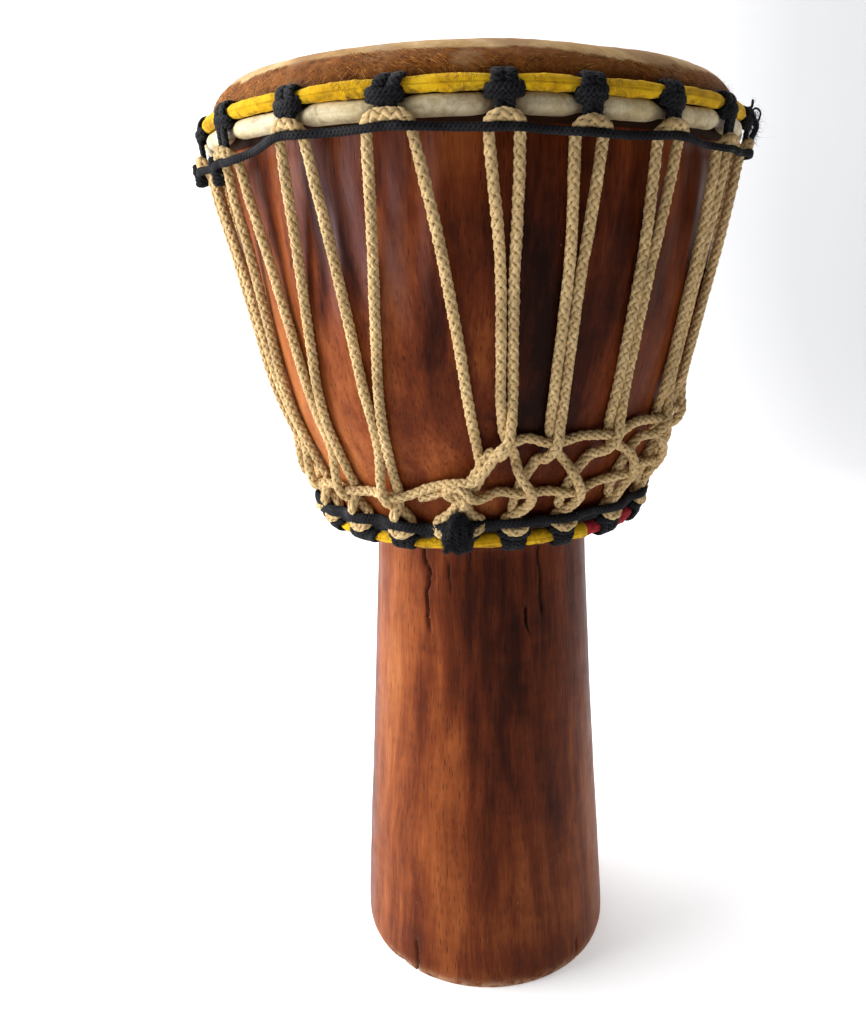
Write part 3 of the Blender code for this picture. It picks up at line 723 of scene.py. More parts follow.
# dark and light patches in the wood's grain, and two broad bands of painted shade over the stem's
# centre and right: azimuth, height, half widths (degrees, m), darkness
FIGURE_AND_SHADE = [
    (-4.0, 0.480, 5.0, 0.060, 0.55), (13.0, 0.500, 9.0, 0.070, 0.75),
    (29.0, 0.510, 8.0, 0.060, 0.55), (45.0, 0.500, 9.0, 0.060, 0.45),
    (66.0, 0.480, 12.0, 0.070, 0.10), (-62.0, 0.560, 10.0, 0.040, 0.40),
    (-30.0, 0.550, 8.0, 0.035, 0.35), (-21.0, 0.500, 7.0, 0.050, -0.15),
    (20.0, 0.430, 30.0, 0.022, 0.35), (2.0, 0.300, 17.0, 0.040, 0.50),
    (12.0, 0.250, 11.0, 0.060, 0.40), (-8.0, 0.220, 8.0, 0.050, 0.30),
    (30.0, 0.160, 12.0, 0.090, 0.28), (4.0, 0.130, 9.0, 0.060, 0.15),
    (60.0, 0.250, 20.0, 0.080, 0.25), (-50.0, 0.200, 18.0, 0.150, -0.28),
    (-50.0, 0.460, 18.0, 0.070, -0.15), (10.0, 0.020, 60.0, 0.018, 0.22),
    # painted shade: these two broad bands darken the stem's centre and right
    (14.0, 0.230, 20.0, 0.180, 0.26), (52.0, 0.200, 24.0, 0.180, 0.18),
    (36.0, 0.060, 16.0, 0.050, -0.12), (3.0, 0.250, 11.0, 0.070, 0.18),
    (5.0, 0.170, 11.0, 0.050, 0.18), (2.0, 0.080, 16.0, 0.050, 0.16),
    (-10.0, 0.140, 7.0, 0.130, 0.16), (-9.0, 0.510, 9.0, 0.075, 0.26),
    (12.0, 0.480, 16.0, 0.080, 0.25), (-26.0, 0.530, 1.6, 0.050, 0.50),
    (-34.5, 0.530, 1.4, 0.050, 0.50), (-18.0, 0.540, 1.2, 0.040, 0.40),
    (150.0, 0.480, 25.0, 0.100, 0.40), (-140.0, 0.250, 25.0, 0.100, 0.30),
    (170.0, 0.150, 20.0, 0.120, -0.20), (-110.0, 0.500, 14.0, 0.060, 0.30),
]


# painted reflection: upright bands of the bowl painted mauve-grey where the window would be seen
# in it: azimuth, half width, strength
PAINTED_REFLECTION_BANDS = [(-38.5, 2.2, 0.50), (-30.0, 2.6, 0.85), (-22.0, 2.2, 0.75), (-14.5, 2.0, 0.60),
         (-52.0, 4.0, 0.25), (-8.0, 1.6, 0.25), (160.0, 5.0, 0.30)]


def cracks(a, r, z):
    """How near each point is to a crack, 0 to 1, and how deep it is cut there."""
    near = np.zeros(np.broadcast_shapes(a.shape, z.shape))
    depth = near.copy()
    for az, top, low, width, deep, wander in CRACKS:
        track = z * 70.0
        stray = noise_at(2, track, az) + 0.35 * noise_at(3, track * 4.1, az * 4.1)
        away = np.radians(wrap(a - az - wander * stray)) * r
        hit = bell(away / width) * smoothstep((z - low) / 0.012) * smoothstep(
            (top - z) / 0.004)
        near = np.maximum(near, hit)
        depth += deep * hit
    return near, depth


def figure_and_shade(a, z):
    tone = 0.0
    for az, height, wide, tall, dark in FIGURE_AND_SHADE:
        away = wrap(a - az) + 3.0 * np.sin(z * 38 + az)
        tone = tone + dark * bell(away / wide) * bell((z - height) / tall)
    return tone


def painted_reflection_mask(a, z):
    # painted reflection of the window, strongest high on the bowl
    gloss = 0.0
    for az, wide, strength in PAINTED_REFLECTION_BANDS:
        away = wrap(a - az) + 1.2 * np.sin(z * 55 + az)
        gloss = gloss + strength * bell(away / wide) * smoothstep((z - 0.470) / 0.060)
    return gloss


def carved(a, r, z, p):
    """Height of the tool marks on the outside, and the attributes there."""
    marks = (vnoise(p * (46, 46, 20), 3) * 0.00042 + vnoise(p * (130, 130, 32), 4) * 0.00012
             + vnoise(p * (14, 14, 9), 8) * 0.0007)
    flutes = 0.0004 * np.cos(np.radians(a) * 42 + 2 * np.sin(z * 30)) * smoothstep(
        (z - 0.440) / 0.08)
    crack, depth = cracks(a, r, z)
    chip = bell((a - CHIP_AZIMUTH) / 5.0) * bell(z / 0.004)
    depth += 0.0016 * chip * (0.6 + 0.4 * vnoise(p * 400, 5))
    worn = bell(z / 0.0045) + 0.35 * bell((z - 0.352) / 0.006)
    return marks + flutes, depth, {"crack": crack, "worn": worn, "gloss": painted_reflection_mask(a, z)}


def build_shell():
    a = np.r_[np.arange(-9.0, 30.0, 0.25), np.arange(30.0, 351.0, 0.8)][None]
    cols = a.size
    soup = Soup()
    firsts = []
    for table, step, inside in ((SHELL_OUTER, 0.0024, 0.0), (SHELL_INNER, 0.0050, 1.0)):
        profile, _ = smooth_path(table, step)
        run = unit(np.gradient(profile, axis=0))
        r, z = profile[:, :1], profile[:, 1:]
        p = cyl(r, a, z)
        if inside:
            tooled = np.cos(np.radians(a) * 46 + 4 * np.sin(z * 60)) * 0.0006
            marks, depth = tooled + vnoise(p * (60, 60, 30), 6) * 0.0009, 0.0
            extra = {"crack": 0.0, "worn": 0.0, "gloss": 0.0}
        else:
            marks, depth, extra = carved(a, r, z, p)
        # tone: dark and light patches in the wood, with painted shade over the stem's centre and
        # right
        tone = figure_and_shade(a, z) + 0.16 * vnoise(p * (30, 30, 5), 12)
        move = marks * smoothstep((0.614 - z) / 0.02) * smoothstep(z / 0.004) - depth
        firsts.append(soup.count)
        soup.add(cyl(r + run[:, 1:] * move, a, z - run[:, :1] * move),
                 grid(len(profile), cols, True), tone=tone, inside=inside, **extra)
    j = np.arange(cols)
    k = (j + 1) % cols
    for last, first in ((firsts[1] - cols, firsts[1]), (soup.count - cols, 0)):
        soup.faces.append(np.stack([last + j, first + j, first + k, last + k], -1))
    soup.build("carved_shell", WOOD, ["shell"])


build_shell()

# ---------------------------------------------------------------- skin


# where the shaved skin reaches lower: azimuth, half width (degrees), depth (m)
BARE = [(34.0, 17.0, 0.0034), (-47.0, 8.0, 0.0018)]


def fur_edge(azimuth):
    """Height at which the hair gives way to shaved skin."""
    bare = 0.0
    for middle, wide, deep in BARE:
        bare = bare + deep * bell(wrap(azimuth - middle) / wide)
    x, y = 9.0 * np.cos(np.radians(azimuth)), 9.0 * np.sin(np.radians(azimuth))
    return 0.6158 - bare + 0.0012 * noise_at(21, x, y) + 0.0008 * noise_at(22, 4 * x, 4 * y)


def skin_radius(z):
    r, h = zip(*reversed([point for point in SKIN_PROFILE if point[0] > 0.1475]))
    return np.interp(z, h, r)


def build_head():
    """The hide over the bearing edge and down inside the crown ring."""
    profile, _ = smooth_path(SKIN_PROFILE, 0.0012)
    keep = (profile[:, 0] >= 0.140) | (np.arange(len(profile)) % 4 == 0)
    profile = profile[keep]
    r, z, a = profile[:, :1], profile[:, 1:], np.arange(0.0, 360.0, 0.75)[None]
    p = cyl(r, a, z)
    edge = smoothstep((r - 0.135) / 0.012)
    rough = (vnoise(p * 60, 31) * 0.0003 + vnoise(p * 240, 32) * 0.00012) * (
        0.25 + 0.75 * edge)
    run = unit(np.gradient(profile, axis=0))
    p = cyl(r - 0.9 * rough * run[:, 1:], a, z + rough * run[:, :1] - 0.0002)
    fur = smoothstep((fur_edge(a) - z) / 0.0012 + 0.5) * (r > 0.14)
    patches = smoothstep(vnoise(p * (48, 48, 90), 33) * 2.2 - 0.2)
    spine = bell((p[..., 0] - 0.012 * np.sin(p[..., 1] * 16)) / 0.016)
    far = smoothstep((r - 0.085) / 0.05)
    stain = np.clip(0.38 * spine * (r < 0.140) + 0.75 * patches * edge
                    + 0.25 * far * patches, 0, 1)
    stain = np.where(z < 0.6195, stain, stain * 0.9)
    shade = 0.75 * smoothstep((0.6075 - z) / 0.007) + 0.22 * smoothstep((0.5925 - z) / 0.004)
    soup = Soup()
    soup.add(p, grid(len(profile), a.size, True), fur=fur, stain=stain, shade=shade)
    soup.build("goatskin_head", SKIN, ["drumhead_skin"])


def build_roll():
    """Rolled edge of the hide round the flesh ring, drawn in at every hitch."""
    azimuth = np.arange(-180.0, 180.0, 0.4)[:, None]
    pull = np.exp(-np.abs(nearest(azimuth, TOP) / 2.9) ** 2.6)
    lump = noise_at(41, azimuth * 0.16)
    phi = TAU * np.arange(30) / 30
    crease = 0.05 * pull * np.cos(phi * 9 + azimuth * 0.4)
    ripple = 0.018 * noise_at(42, azimuth * 1.1, np.cos(phi) * 1.5, np.sin(phi) * 1.5)
    size = (1.03 - 0.50 * pull + 0.045 * lump) * (1 + crease + ripple)
    p = cyl(FLESH_CENTRE[0] + 0.0050 * size * np.cos(phi), azimuth,
            FLESH_CENTRE[1] + 0.0051 * size * np.sin(phi) + 0.0004 * lump)
    dirty = 0.50 * bell((azimuth - 6.0) / 15.0)
    # stain: darker where the hitches draw the hide in, dirt at the front, and painted shade on
    # the underside of the roll
    stain = np.clip(pull * 0.75 + 0.30 * smoothstep(-np.sin(phi) - 0.35) + dirty, 0, 1)
    soup = Soup()
    soup.add(p, grid(len(azimuth), len(phi), True, True),
             lay=(np.radians(azimuth) * 0.16, phi, 0.0), stain=stain)
    soup.build("skin_roll", ROLL)


def build_edge():
    """Ragged upper edge of the hide, standing behind the crown ring."""
    azimuth = np.arange(-180.0, 180.0, 0.35)
    rag = 0.0017 * noise_at(51, azimuth * 0.45) + 0.0008 * noise_at(52, azimuth * 2.1)
    curl = noise_at(53, azimuth * 0.3, 0, 5)
    rows = []
    for thick in (0.0, 0.0007):
        for v in np.linspace(0.0, 1.0, 7):
            radius = 0.1622 + thick * (1 - 0.7 * v) + 0.0016 * v * v * (1 + 0.8 * curl)
            rows.append(cyl(radius, azimuth, 0.5965 + v * (0.0056 + rag)))
    soup = Soup()
    soup.add(np.stack(rows[:7] + rows[:6:-1]), grid(14, len(azimuth), True, True),
             fur=1.0, shade=0.55, stain=0.35)
    soup.build("skin_edge", SKIN)


build_head()
build_roll()
build_edge()


def build_fur():
    rng = np.random.default_rng(12)
    soup = Soup()
    count = 26000
    az = rng.uniform(-180, 180, count)
    span = fur_edge(az) + 0.0006 - FUR_LOW
    z = FUR_LOW + span * rng.uniform(0, 1, count) ** 0.85
    radial, across = outward(az)
    a = np.radians(az)
    ring = np.stack([np.cos(a) * 5, np.sin(a) * 5, z * 60], -1)
    lean = 0.95 * vnoise(ring, 61) + 0.5 * vnoise(ring * 4, 62)
    lean = np.where(np.abs(lean) < 0.25, np.sign(lean + 0.001) * 0.25, lean)
    side = np.clip((lean + rng.normal(0, 0.35, count)) * 1.5, -1.25, 1.25)
    down = -(0.45 + 0.35 * rng.uniform(0, 1, count))
    aim = unit(across * side[:, None] + UP * down[:, None])
    length = rng.uniform(0.0040, 0.0092, count)
    length = np.minimum(length, 0.0032 + (z - FUR_LOW) * 0.7 + np.abs(side) * 0.0035)
    width = rng.uniform(0.00016, 0.00032, count)
    tone = np.clip(0.48 + 0.34 * vnoise(ring * 2.5, 63) + rng.normal(0, 0.34, count), 0, 1)
    hairs(soup, cyl(skin_radius(z) + 0.0001, az, z), aim, unit(radial + 0.15 * UP), length,
          width, rng, 0.22, 3, tone)
    count = 2400
    az, z = rng.uniform(-180, 180, count), rng.uniform(0.6010, 0.6150, count)
    radial, across = outward(az)
    aim = unit(radial * rng.uniform(0.3, 1.0, (count, 1)) + across * rng.normal(
        0, 0.8, (count, 1)) + UP * rng.uniform(-0.9, 0.15, (count, 1)))
    lift = unit(np.cross(aim, across) + 0.3 * UP)
    hairs(soup, cyl(skin_radius(z), az, z), aim, lift, rng.uniform(0.003, 0.0085, count),
          rng.uniform(0.00012, 0.0002, count), rng, 0.5, 3, rng.uniform(0.3, 0.9, count))
    soup.build("fur_hairs", FUR)


build_fur()

# ---------------------------------------------------------------- bars


def build_bars():
    """The round bars inside the crown cloth and inside the fold of the hide."""
    phi, azimuth = TAU * np.arange(16) / 16, np.arange(-180.0, 180.0, 1.5)[:, None]
    for name, node, (radius, height), bar in (
            ("crown_bar", "crown_ring", CROWN_CENTRE, 0.0025),
            ("flesh_bar", "flesh_ring", FLESH_CENTRE, 0.0026)):
        soup = Soup()
        soup.add(cyl(radius + bar * np.cos(phi), azimuth, height + bar * np.sin(phi)),
                 grid(len(azimuth), len(phi), True, True))
        soup.build(name, STEEL, [node])


build_bars()

# ---------------------------------------------------------------- cloth


def build_cloth(name, look, centre, size, span, stations, pinch, node, seed):
    """A strip wound round a ring, drawn in at every station."""
    azimuth = np.linspace(span[0], span[1], int((span[1] - span[0]) / 0.22))[:, None]
    near = bell(nearest(azimuth, stations) / pinch)
    phi = TAU * np.arange(28) / 28
    s = np.radians(azimuth) * centre[0]
    turn = np.stack(np.broadcast_arrays(s * 120, np.cos(phi) * 1.3,
                                        np.sin(phi) * 1.3 + seed), -1)
    folds = 0.075 * vnoise(turn, seed) + 0.04 * vnoise(turn * 2.7, seed + 1)
    gather = 0.10 * near * np.cos(7 * phi + 300 * s + seed)
    plump = 1.06 - 0.34 * near + 0.05 * noise_at(7, azimuth * 0.13, 0, seed)
    wind = np.cos((s / 0.013 + phi / TAU * 0.9) * TAU)
    edge = 0.05 * smoothstep((wind - 0.82) / 0.1)
    scale = plump * (1.0 + folds + gather + edge)
    p = cyl(centre[0] + size[0] * scale * np.cos(phi), azimuth,
            centre[1] + size[1] * scale * np.sin(phi))
    stain = np.clip(0.75 * smoothstep(-np.sin(phi) * 1.2 - 0.15) + 0.5 * near + 0.22, 0, 1)
    soup = Soup()
    soup.add(p, grid(len(azimuth), len(phi), True), lay=(s, phi * size[0], 0.0), stain=stain)
    soup.build(name, look, [node])


for ring, wrapped, centre, size, (first, last), stations, pinch, seed in (
        ("crown", "crown", CROWN_CENTRE, (0.0037, 0.0037), CROWN_YELLOW, TOP, 3.0, 3),
        ("foot", "bottom", FOOT_CENTRE, (0.0051, 0.0050), FOOT_YELLOW, FOOT, 4.5, 5)):
    build_cloth(f"{ring}_cloth_yellow", YELLOW, centre, size, (first, last),
                stations, pinch, f"{wrapped}_wrap_yellow", seed)
    build_cloth(f"{ring}_cloth_red", RED, centre, size, (last, first + 360.0),
                stations, pinch, f"{wrapped}_wrap_red", seed + 1)

# ---------------------------------------------------------------- ropes


def taut(z):
    """Radius of a rope stretched from its arc down to where it meets the wood."""
    end = bowl_radius(ROPE_MEETS) + ROPE_RADIUS
    line = LEG_TOP[0] + (end - LEG_TOP[0]) * (LEG_TOP[1] - z) / (LEG_TOP[1] - ROPE_MEETS)
    return np.maximum(line, bowl_radius(z) + ROPE_RADIUS / math.cos(WALL_LEAN))


def foot_half(f):
    return math.degrees((KNOT_HALF if f == KNOT else FOOT_HALF) / LEG_FOOT[0])


def top_half(k):
    return math.degrees((TOP_HALF + (0.0034 if k == WIDE else 0.0)) / LEG_TOP[0])


def hang(k):
    return HANG.get(k % STATIONS, HANG_BEHIND)


def turned(route, turn=0.0):
    return [on_bowl(az + turn, z, height) for az, z, height in route]


def leg_top(k, f, side, turn, foot_turn):
    """A leg from its arc down to the first strand that it meets."""
    rng = np.random.default_rng(1000 + k * 7 + f * 3 + int(side))
    half, top = top_half(k), TOP[k] + turn
    points = []
    if k in UPPER:
        up_az, up_z = UPPER[k][0] + turn, UPPER[k][1]
        high = REAR if side > 0 else FRONT
        for z in (LEG_TOP[1] - hang(k), 0.560, 0.535, 0.512, 0.488, 0.465, 0.445):
            v = (LEG_TOP[1] - z) / (LEG_TOP[1] - up_z)
            near = math.degrees(0.0032 / bowl_radius(z))
            apart = half + (near - half) * smoothstep((LEG_TOP[1] - z) / 0.085)
            points.append(cyl(taut(z), top + (up_az - top) * v - side * apart, z))
        return points + turned([(up_az - side * 0.9, up_z + 0.009, (high + 0.0033) / 2),
                                (up_az, up_z, high),
                                (up_az + side * 1.9, up_z - 0.008, high * 0.75 + 0.0008)])
    if f == KNOT:
        end, low = CUT_STRAND[0][:2]
    else:
        shift = 1.6 if f == KNOT - 1 else 0.0
        end, low = LOWER[f][0] + foot_turn - side * 1.3 + shift, SINGLE_MEET
    start = top + side * half
    for z in (LEG_TOP[1] - hang(k), 0.553, 0.525, 0.497, 0.470, 0.448):
        v = (LEG_TOP[1] - z) / (LEG_TOP[1] - low)
        points.append(cyl(taut(z), start + (end - start) * v + rng.normal(0, 0.05), z))
    return points


def leg(k, f, side):
    turn, foot_turn = 360.0 * (k // STATIONS), 360.0 * (f // STATIONS)
    k, f = k % STATIONS, f % STATIONS
    low_az, low_z = LOWER[f][0] + foot_turn, LOWER[f][1]
    foot = FOOT[f] + foot_turn
    points = leg_top(k, f, side, turn, foot_turn)
    end = foot + side * foot_half(f)
    if f == KNOT:
        points += turned(CUT_STRAND if side > 0 else LIGHT_STRAND, foot_turn)
    elif f in UPPER or f + 1 in UPPER:
        over = FRONT if side > 0 else REAR
        route = []
        if k in UPPER:
            route.append(((UPPER[k][0] + turn + low_az) / 2, (UPPER[k][1] + low_z) / 2, 0.0033))
        route += [(low_az - side * 1.9, low_z + 0.0070, over * 0.7 + 0.0010),
                  (low_az, low_z, over)]
        if side > 0:
            end = foot - 3.1
            route += [(low_az + 1.7, low_z - 0.0080, 0.0105),
                      (low_az + 0.9, low_z - 0.0165, 0.0080), (foot - 0.6, 0.3732, 0.0062)]
        else:
            end = foot + 0.6
            route += [(low_az - 1.7, low_z - 0.0085, 0.0033),
                      (low_az - 2.6, low_z - 0.0165, 0.0031), (foot - 0.6, 0.3725, 0.0031)]
        points += turned(route)
    else:
        shift = 1.6 if f == KNOT - 1 else 0.0
        over, cross = (FRONT, REAR) if side > 0 else (REAR, FRONT * 0.85)
        points += turned([(low_az - side * 1.3 + shift, SINGLE_MEET, 0.0033),
                          (low_az - side * 1.4 + shift * 0.5, 0.4100, 0.0034),
                          (low_az - side * 1.6, 0.3925, over * 0.8 + 0.0010),
                          (low_az - side * 1.6, 0.3855, over),
                          (low_az - side * 1.4, 0.3800, (over + cross) / 2),
                          (low_az, low_z, cross)])
    points.append(cyl(LEG_FOOT[0], end, LEG_FOOT[1]))
    return points


def arc(azimuth, half, profile, drop=0.0):
    """The bight of a loop, from its -half end; profile gives part, radius, height."""
    return [cyl(radius, azimuth + half * part, z - drop) for part, radius, z in profile]


TOP_ARC = [(-0.97, 0.1716, 0.5830), (-0.60, 0.1727, 0.5852), (0.0, 0.1730, 0.5859),
           (0.60, 0.1727, 0.5852), (0.97, 0.1716, 0.5830)]
FOOT_ARC = [(0.90, 0.1150, 0.3634), (0.5, 0.1165, 0.3613), (0.0, 0.1170, 0.3604),
            (-0.5, 0.1165, 0.3613), (-0.90, 0.1150, 0.3634)]


def lacing_path():
    """The whole lacing with its thickness as a fourth column."""
    path, grow = [], []

    def go(points, swell):
        path.extend(points)
        grow.extend([swell] * len(points))

    for k in range(STATIONS):
        side = -1.0 if k in UPPER else 1.0
        go(arc(TOP[k], side * top_half(k), TOP_ARC, hang(k)), 1.10)
        go(leg(k, k, 1), 1.0)
        side = -1.0 if k != KNOT and (k in UPPER or k + 1 in UPPER) else 1.0
        go(arc(FOOT[k], side * foot_half(k), FOOT_ARC), 1.04)
        go(leg(k + 1, k, -1)[::-1], 1.0)
    return np.column_stack([np.array(path), np.array(grow) * SWELL])


def weave_path():
    path = turned(KNOT_START)
    last = KNOT_START[-1][0]
    for k in range(KNOT + 1, STATIONS + KNOT):
        az, _, z = LOWER[k % STATIONS]
        az += 360.0 * (k // STATIONS)
        if k > KNOT + 1:
            before = LOWER[(k - 1) % STATIONS][2]
            path.append(on_bowl((last + az) / 2, (z + before) / 2 - 0.0008, 0.0034))
        path += [on_bowl(az - 1.6, z, WEAVE), on_bowl(az + 1.6, z, WEAVE)]
        last = az
    path += turned(KNOT_END, 360.0)
    for k in sorted(UPPER)[1:]:
        az, z = UPPER[k][0] + 360.0, UPPER[k][1]
        if k > KNOT + 2:
            path.append(on_bowl((last + az) / 2, z - 0.0006, 0.0034))
        path += [on_bowl(az - 1.5, z, WEAVE), on_bowl(az + 1.5, z, WEAVE)]
        last = az
    return path + [on_bowl(last + 6.0, 0.4190, 0.0034), on_bowl(last + 9.0, 0.4150, 0.0034)]


def rope_fuzz(soup, tracks, count, rng, radius, longest):
    """Loose fibres standing off a rope."""
    whole = sum(len(track[0]) for track in tracks)
    for p, n, b, t in tracks:
        k = max(int(count * len(p) / whole), 3)
        i = rng.integers(0, len(p), k)
        theta = rng.uniform(0, TAU, k)
        out = np.cos(theta)[:, None] * n[i] + np.sin(theta)[:, None] * b[i]
        keep = np.sum(out * unit(p[i] * FLAT), -1) > -0.3
        i, out = i[keep], out[keep]
        way = np.where(rng.uniform(0, 1, len(i)) > 0.5, 1.0, -1.0)[:, None]
        aim = unit(t[i] * way + 0.55 * out + rng.normal(0, 0.25, (len(i), 3)))
        lift = unit(out - np.sum(out * aim, -1, keepdims=True) * aim)
        hairs(soup, p[i] + out * radius * 0.92, aim, lift,
              rng.uniform(0.25, 1.0, len(i)) ** 2 * longest,
              rng.uniform(0.00007, 0.00013, len(i)), rng, 0.5)


def build_ropes():
    rng = np.random.default_rng(33)
    step = 0.00125
    soup = Soup()
    lacing = rope(soup, lacing_path(), ROPE_RADIUS, 1, step, True)
    rope_fuzz(soup, [lacing], 8000, rng, ROPE_RADIUS, 0.0034)
    soup.build("braided_lacing", ROPE, ["lacing_rope"])
    soup = Soup()
    weave = rope(soup, weave_path(), WEAVE_RADIUS, 2, step)
    extra = rope(soup, turned(DOUBLED), 0.0028, 3, step)
    rope_fuzz(soup, [weave, extra], 2000, rng, WEAVE_RADIUS, 0.0036)
    soup.build("braided_weave", ROPE, ["weave_rope"])


build_ropes()

# ---------------------------------------------------------------- black cords


def cord_route(stations, half, at_leg, at_middle, between, drops, seed):
    rng = np.random.default_rng(seed)
    path = []
    for k, az in enumerate(stations):
        after = stations[(k + 1) % STATIONS] + (360.0 if k + 1 == STATIONS else 0.0)
        wide = math.degrees(half / at_leg[0])
        stray = rng.normal(0, 0.0004)
        here, there = drops[k], drops[(k + 1) % STATIONS]
        path.append(cyl(at_middle[0], az, at_middle[1] - here))
        path.append(cyl(at_leg[0], az + wide, at_leg[1] + stray * 0.5 - here))
        path.append(cyl(between[0], (az + after) / 2, between[1] + stray - (here + there) / 2))
        path.append(cyl(at_leg[0], after - wide, at_leg[1] + stray * 0.5 - there))
    return path


def loop_round(soup, az, shift, centre, size, width, thick, seed, slant):
    """A turn of cord right round a ring, shifted sideways along it."""
    q = np.linspace(0, TAU, 17)[:-1]
    x = shift + slant * np.sin(q)
    points = cyl(centre[0] + size[0] * np.cos(q), az + np.degrees(x / centre[0]),
                 centre[1] + size[1] * np.sin(q))
    face = cyl(1.0, az, 0.0) * np.cos(q)[:, None] + UP * np.sin(q)[:, None]
    return cord(soup, points, face, width, thick, seed, True)


def local(az, rows):
    """Points given as (sideways, radius, height) from a station."""
    return np.array([cyl(r, az + math.degrees(x / r), z) for x, r, z in rows])


def build_crown_hitches():
    soup = Soup()
    rng = np.random.default_rng(44)
    tracks = []
    for k, az in enumerate(TOP):
        jitter = rng.normal(0, 1, 8)
        wide = k == WIDE
        slant = 0.0004 * jitter[0] + 0.0030 * wide
        broad = 1.22 if wide else 1.0
        for way in (-1, 1):
            tracks.append(loop_round(
                soup, az, way * 0.0031 * broad + 0.0002 * jitter[1], CROWN_CENTRE,
                (0.0047, 0.0048 + 0.0002 * jitter[2]), 0.0060, 0.0024, k * 3 + way,
                slant - way * 0.0005 + 0.0005 * jitter[6]))
        reach = 0.0078 * broad + 0.0006 * jitter[3]
        tilt = 0.0006 * jitter[4] - 0.0012 * wide
        mid = 0.0003 * jitter[5] - 0.0014 * wide
        for lower, out in ((0.0, 0.0), (-0.0024, -0.0006)):
            bight = local(az, [
                (-reach + mid, 0.1688, 0.5962 - tilt + lower),
                (-reach * 0.82 + mid, 0.1714 + out, 0.5957 - tilt + lower),
                (-reach * 0.35 + mid, 0.1731 + out, 0.5950 + lower),
                (reach * 0.35 + mid, 0.1732 + out, 0.5950 + lower),
                (reach * 0.82 + mid, 0.1716 + out, 0.5957 + tilt + lower),
                (reach + mid, 0.1688, 0.5963 + tilt + lower)])
            tracks.append(cord(soup, bight, None, 0.0044, 0.0030, k + 50))
        for way in (-1, 1):
            drop = local(az, [
                (way * 0.0018 + mid, 0.1706, 0.5955), (way * 0.0025 + mid, 0.1719, 0.5928),
                (way * 0.0026, 0.1714, 0.5888 - 0.5 * hang(k)),
                (way * 0.0023, 0.1704, 0.5852 - hang(k)),
                (way * 0.0020, 0.1676, 0.5822 - hang(k))])
            tracks.append(cord(soup, drop, None, 0.0050, 0.0030, k + 80))
    rope_fuzz(soup, tracks, 2500, rng, 0.0022, 0.0022)
    soup.build("crown_hitches", BLACK,
               [f"crown_loop_{k:02d}" for k in range(1, STATIONS + 1)])


def build_foot_hitches():
    soup = Soup()
    rng = np.random.default_rng(45)
    tracks = []
    for k, az in enumerate(FOOT):
        jitter = rng.normal(0, 1, 8)
        wide = 1.0 + 0.10 * jitter[0]
        for way in (-2.0, -1.0, 0.0, 1.0, 1.8) if k == 1 else (-1.0, 0.0, 1.0):
            tracks.append(loop_round(
                soup, az, way * 0.0048 * wide + 0.0003 * jitter[1], FOOT_CENTRE,
                (0.0061, 0.0060 + 0.0002 * jitter[2]), 0.0054, 0.0029,
                k * 3 + int(way), 0.0012 * way + 0.0005 * jitter[3]))
        reach = 0.0098 * wide
        bight = local(az, [
            (-reach, 0.1105, 0.3588), (-reach * 0.75, 0.1138, 0.3584),
            (-reach * 0.2, 0.1153, 0.3574), (reach * 0.3, 0.1153, 0.3574),
            (reach * 0.78, 0.1137, 0.3585), (reach, 0.1105, 0.3590)])
        tracks.append(cord(soup, bight, None, 0.0050, 0.0036, k + 90))
    rope_fuzz(soup, tracks, 3500, rng, 0.0020, 0.0030)
    soup.build("foot_hitches", BLACK,
               [f"bottom_loop_{k:02d}" for k in range(1, STATIONS + 1)])


def build_cords():
    for name, node, route, (width, thick) in (
            ("crown_braid_cord", "crown_cord",
             cord_route(TOP, TOP_HALF, (0.1748, 0.5802), (0.1743, 0.5806),
                        (0.1704, 0.5803), [hang(k) for k in range(STATIONS)], 5),
             (0.0039, 0.0030)),
            ("foot_braid_cord", "bottom_cord",
             cord_route(FOOT, FOOT_HALF, (0.1180, 0.3660), (0.1186, 0.3664),
                        (0.1144, 0.3658), [0.0] * STATIONS, 6), (0.0052, 0.0030))):
        soup = Soup()
        track = cord(soup, route, None, width, thick, 7, True)
        if node == "bottom_cord":
            ring = [cyl(0.1116, az, 0.3632 + 0.0003 * math.sin(az)) for az in range(0, 360, 5)]
            cord(soup, ring, None, 0.0062, 0.0030, 9, True)
        rope_fuzz(soup, [track], 700, np.random.default_rng(8), 0.0022, 0.0018)
        soup.build(name, BLACK, [node])


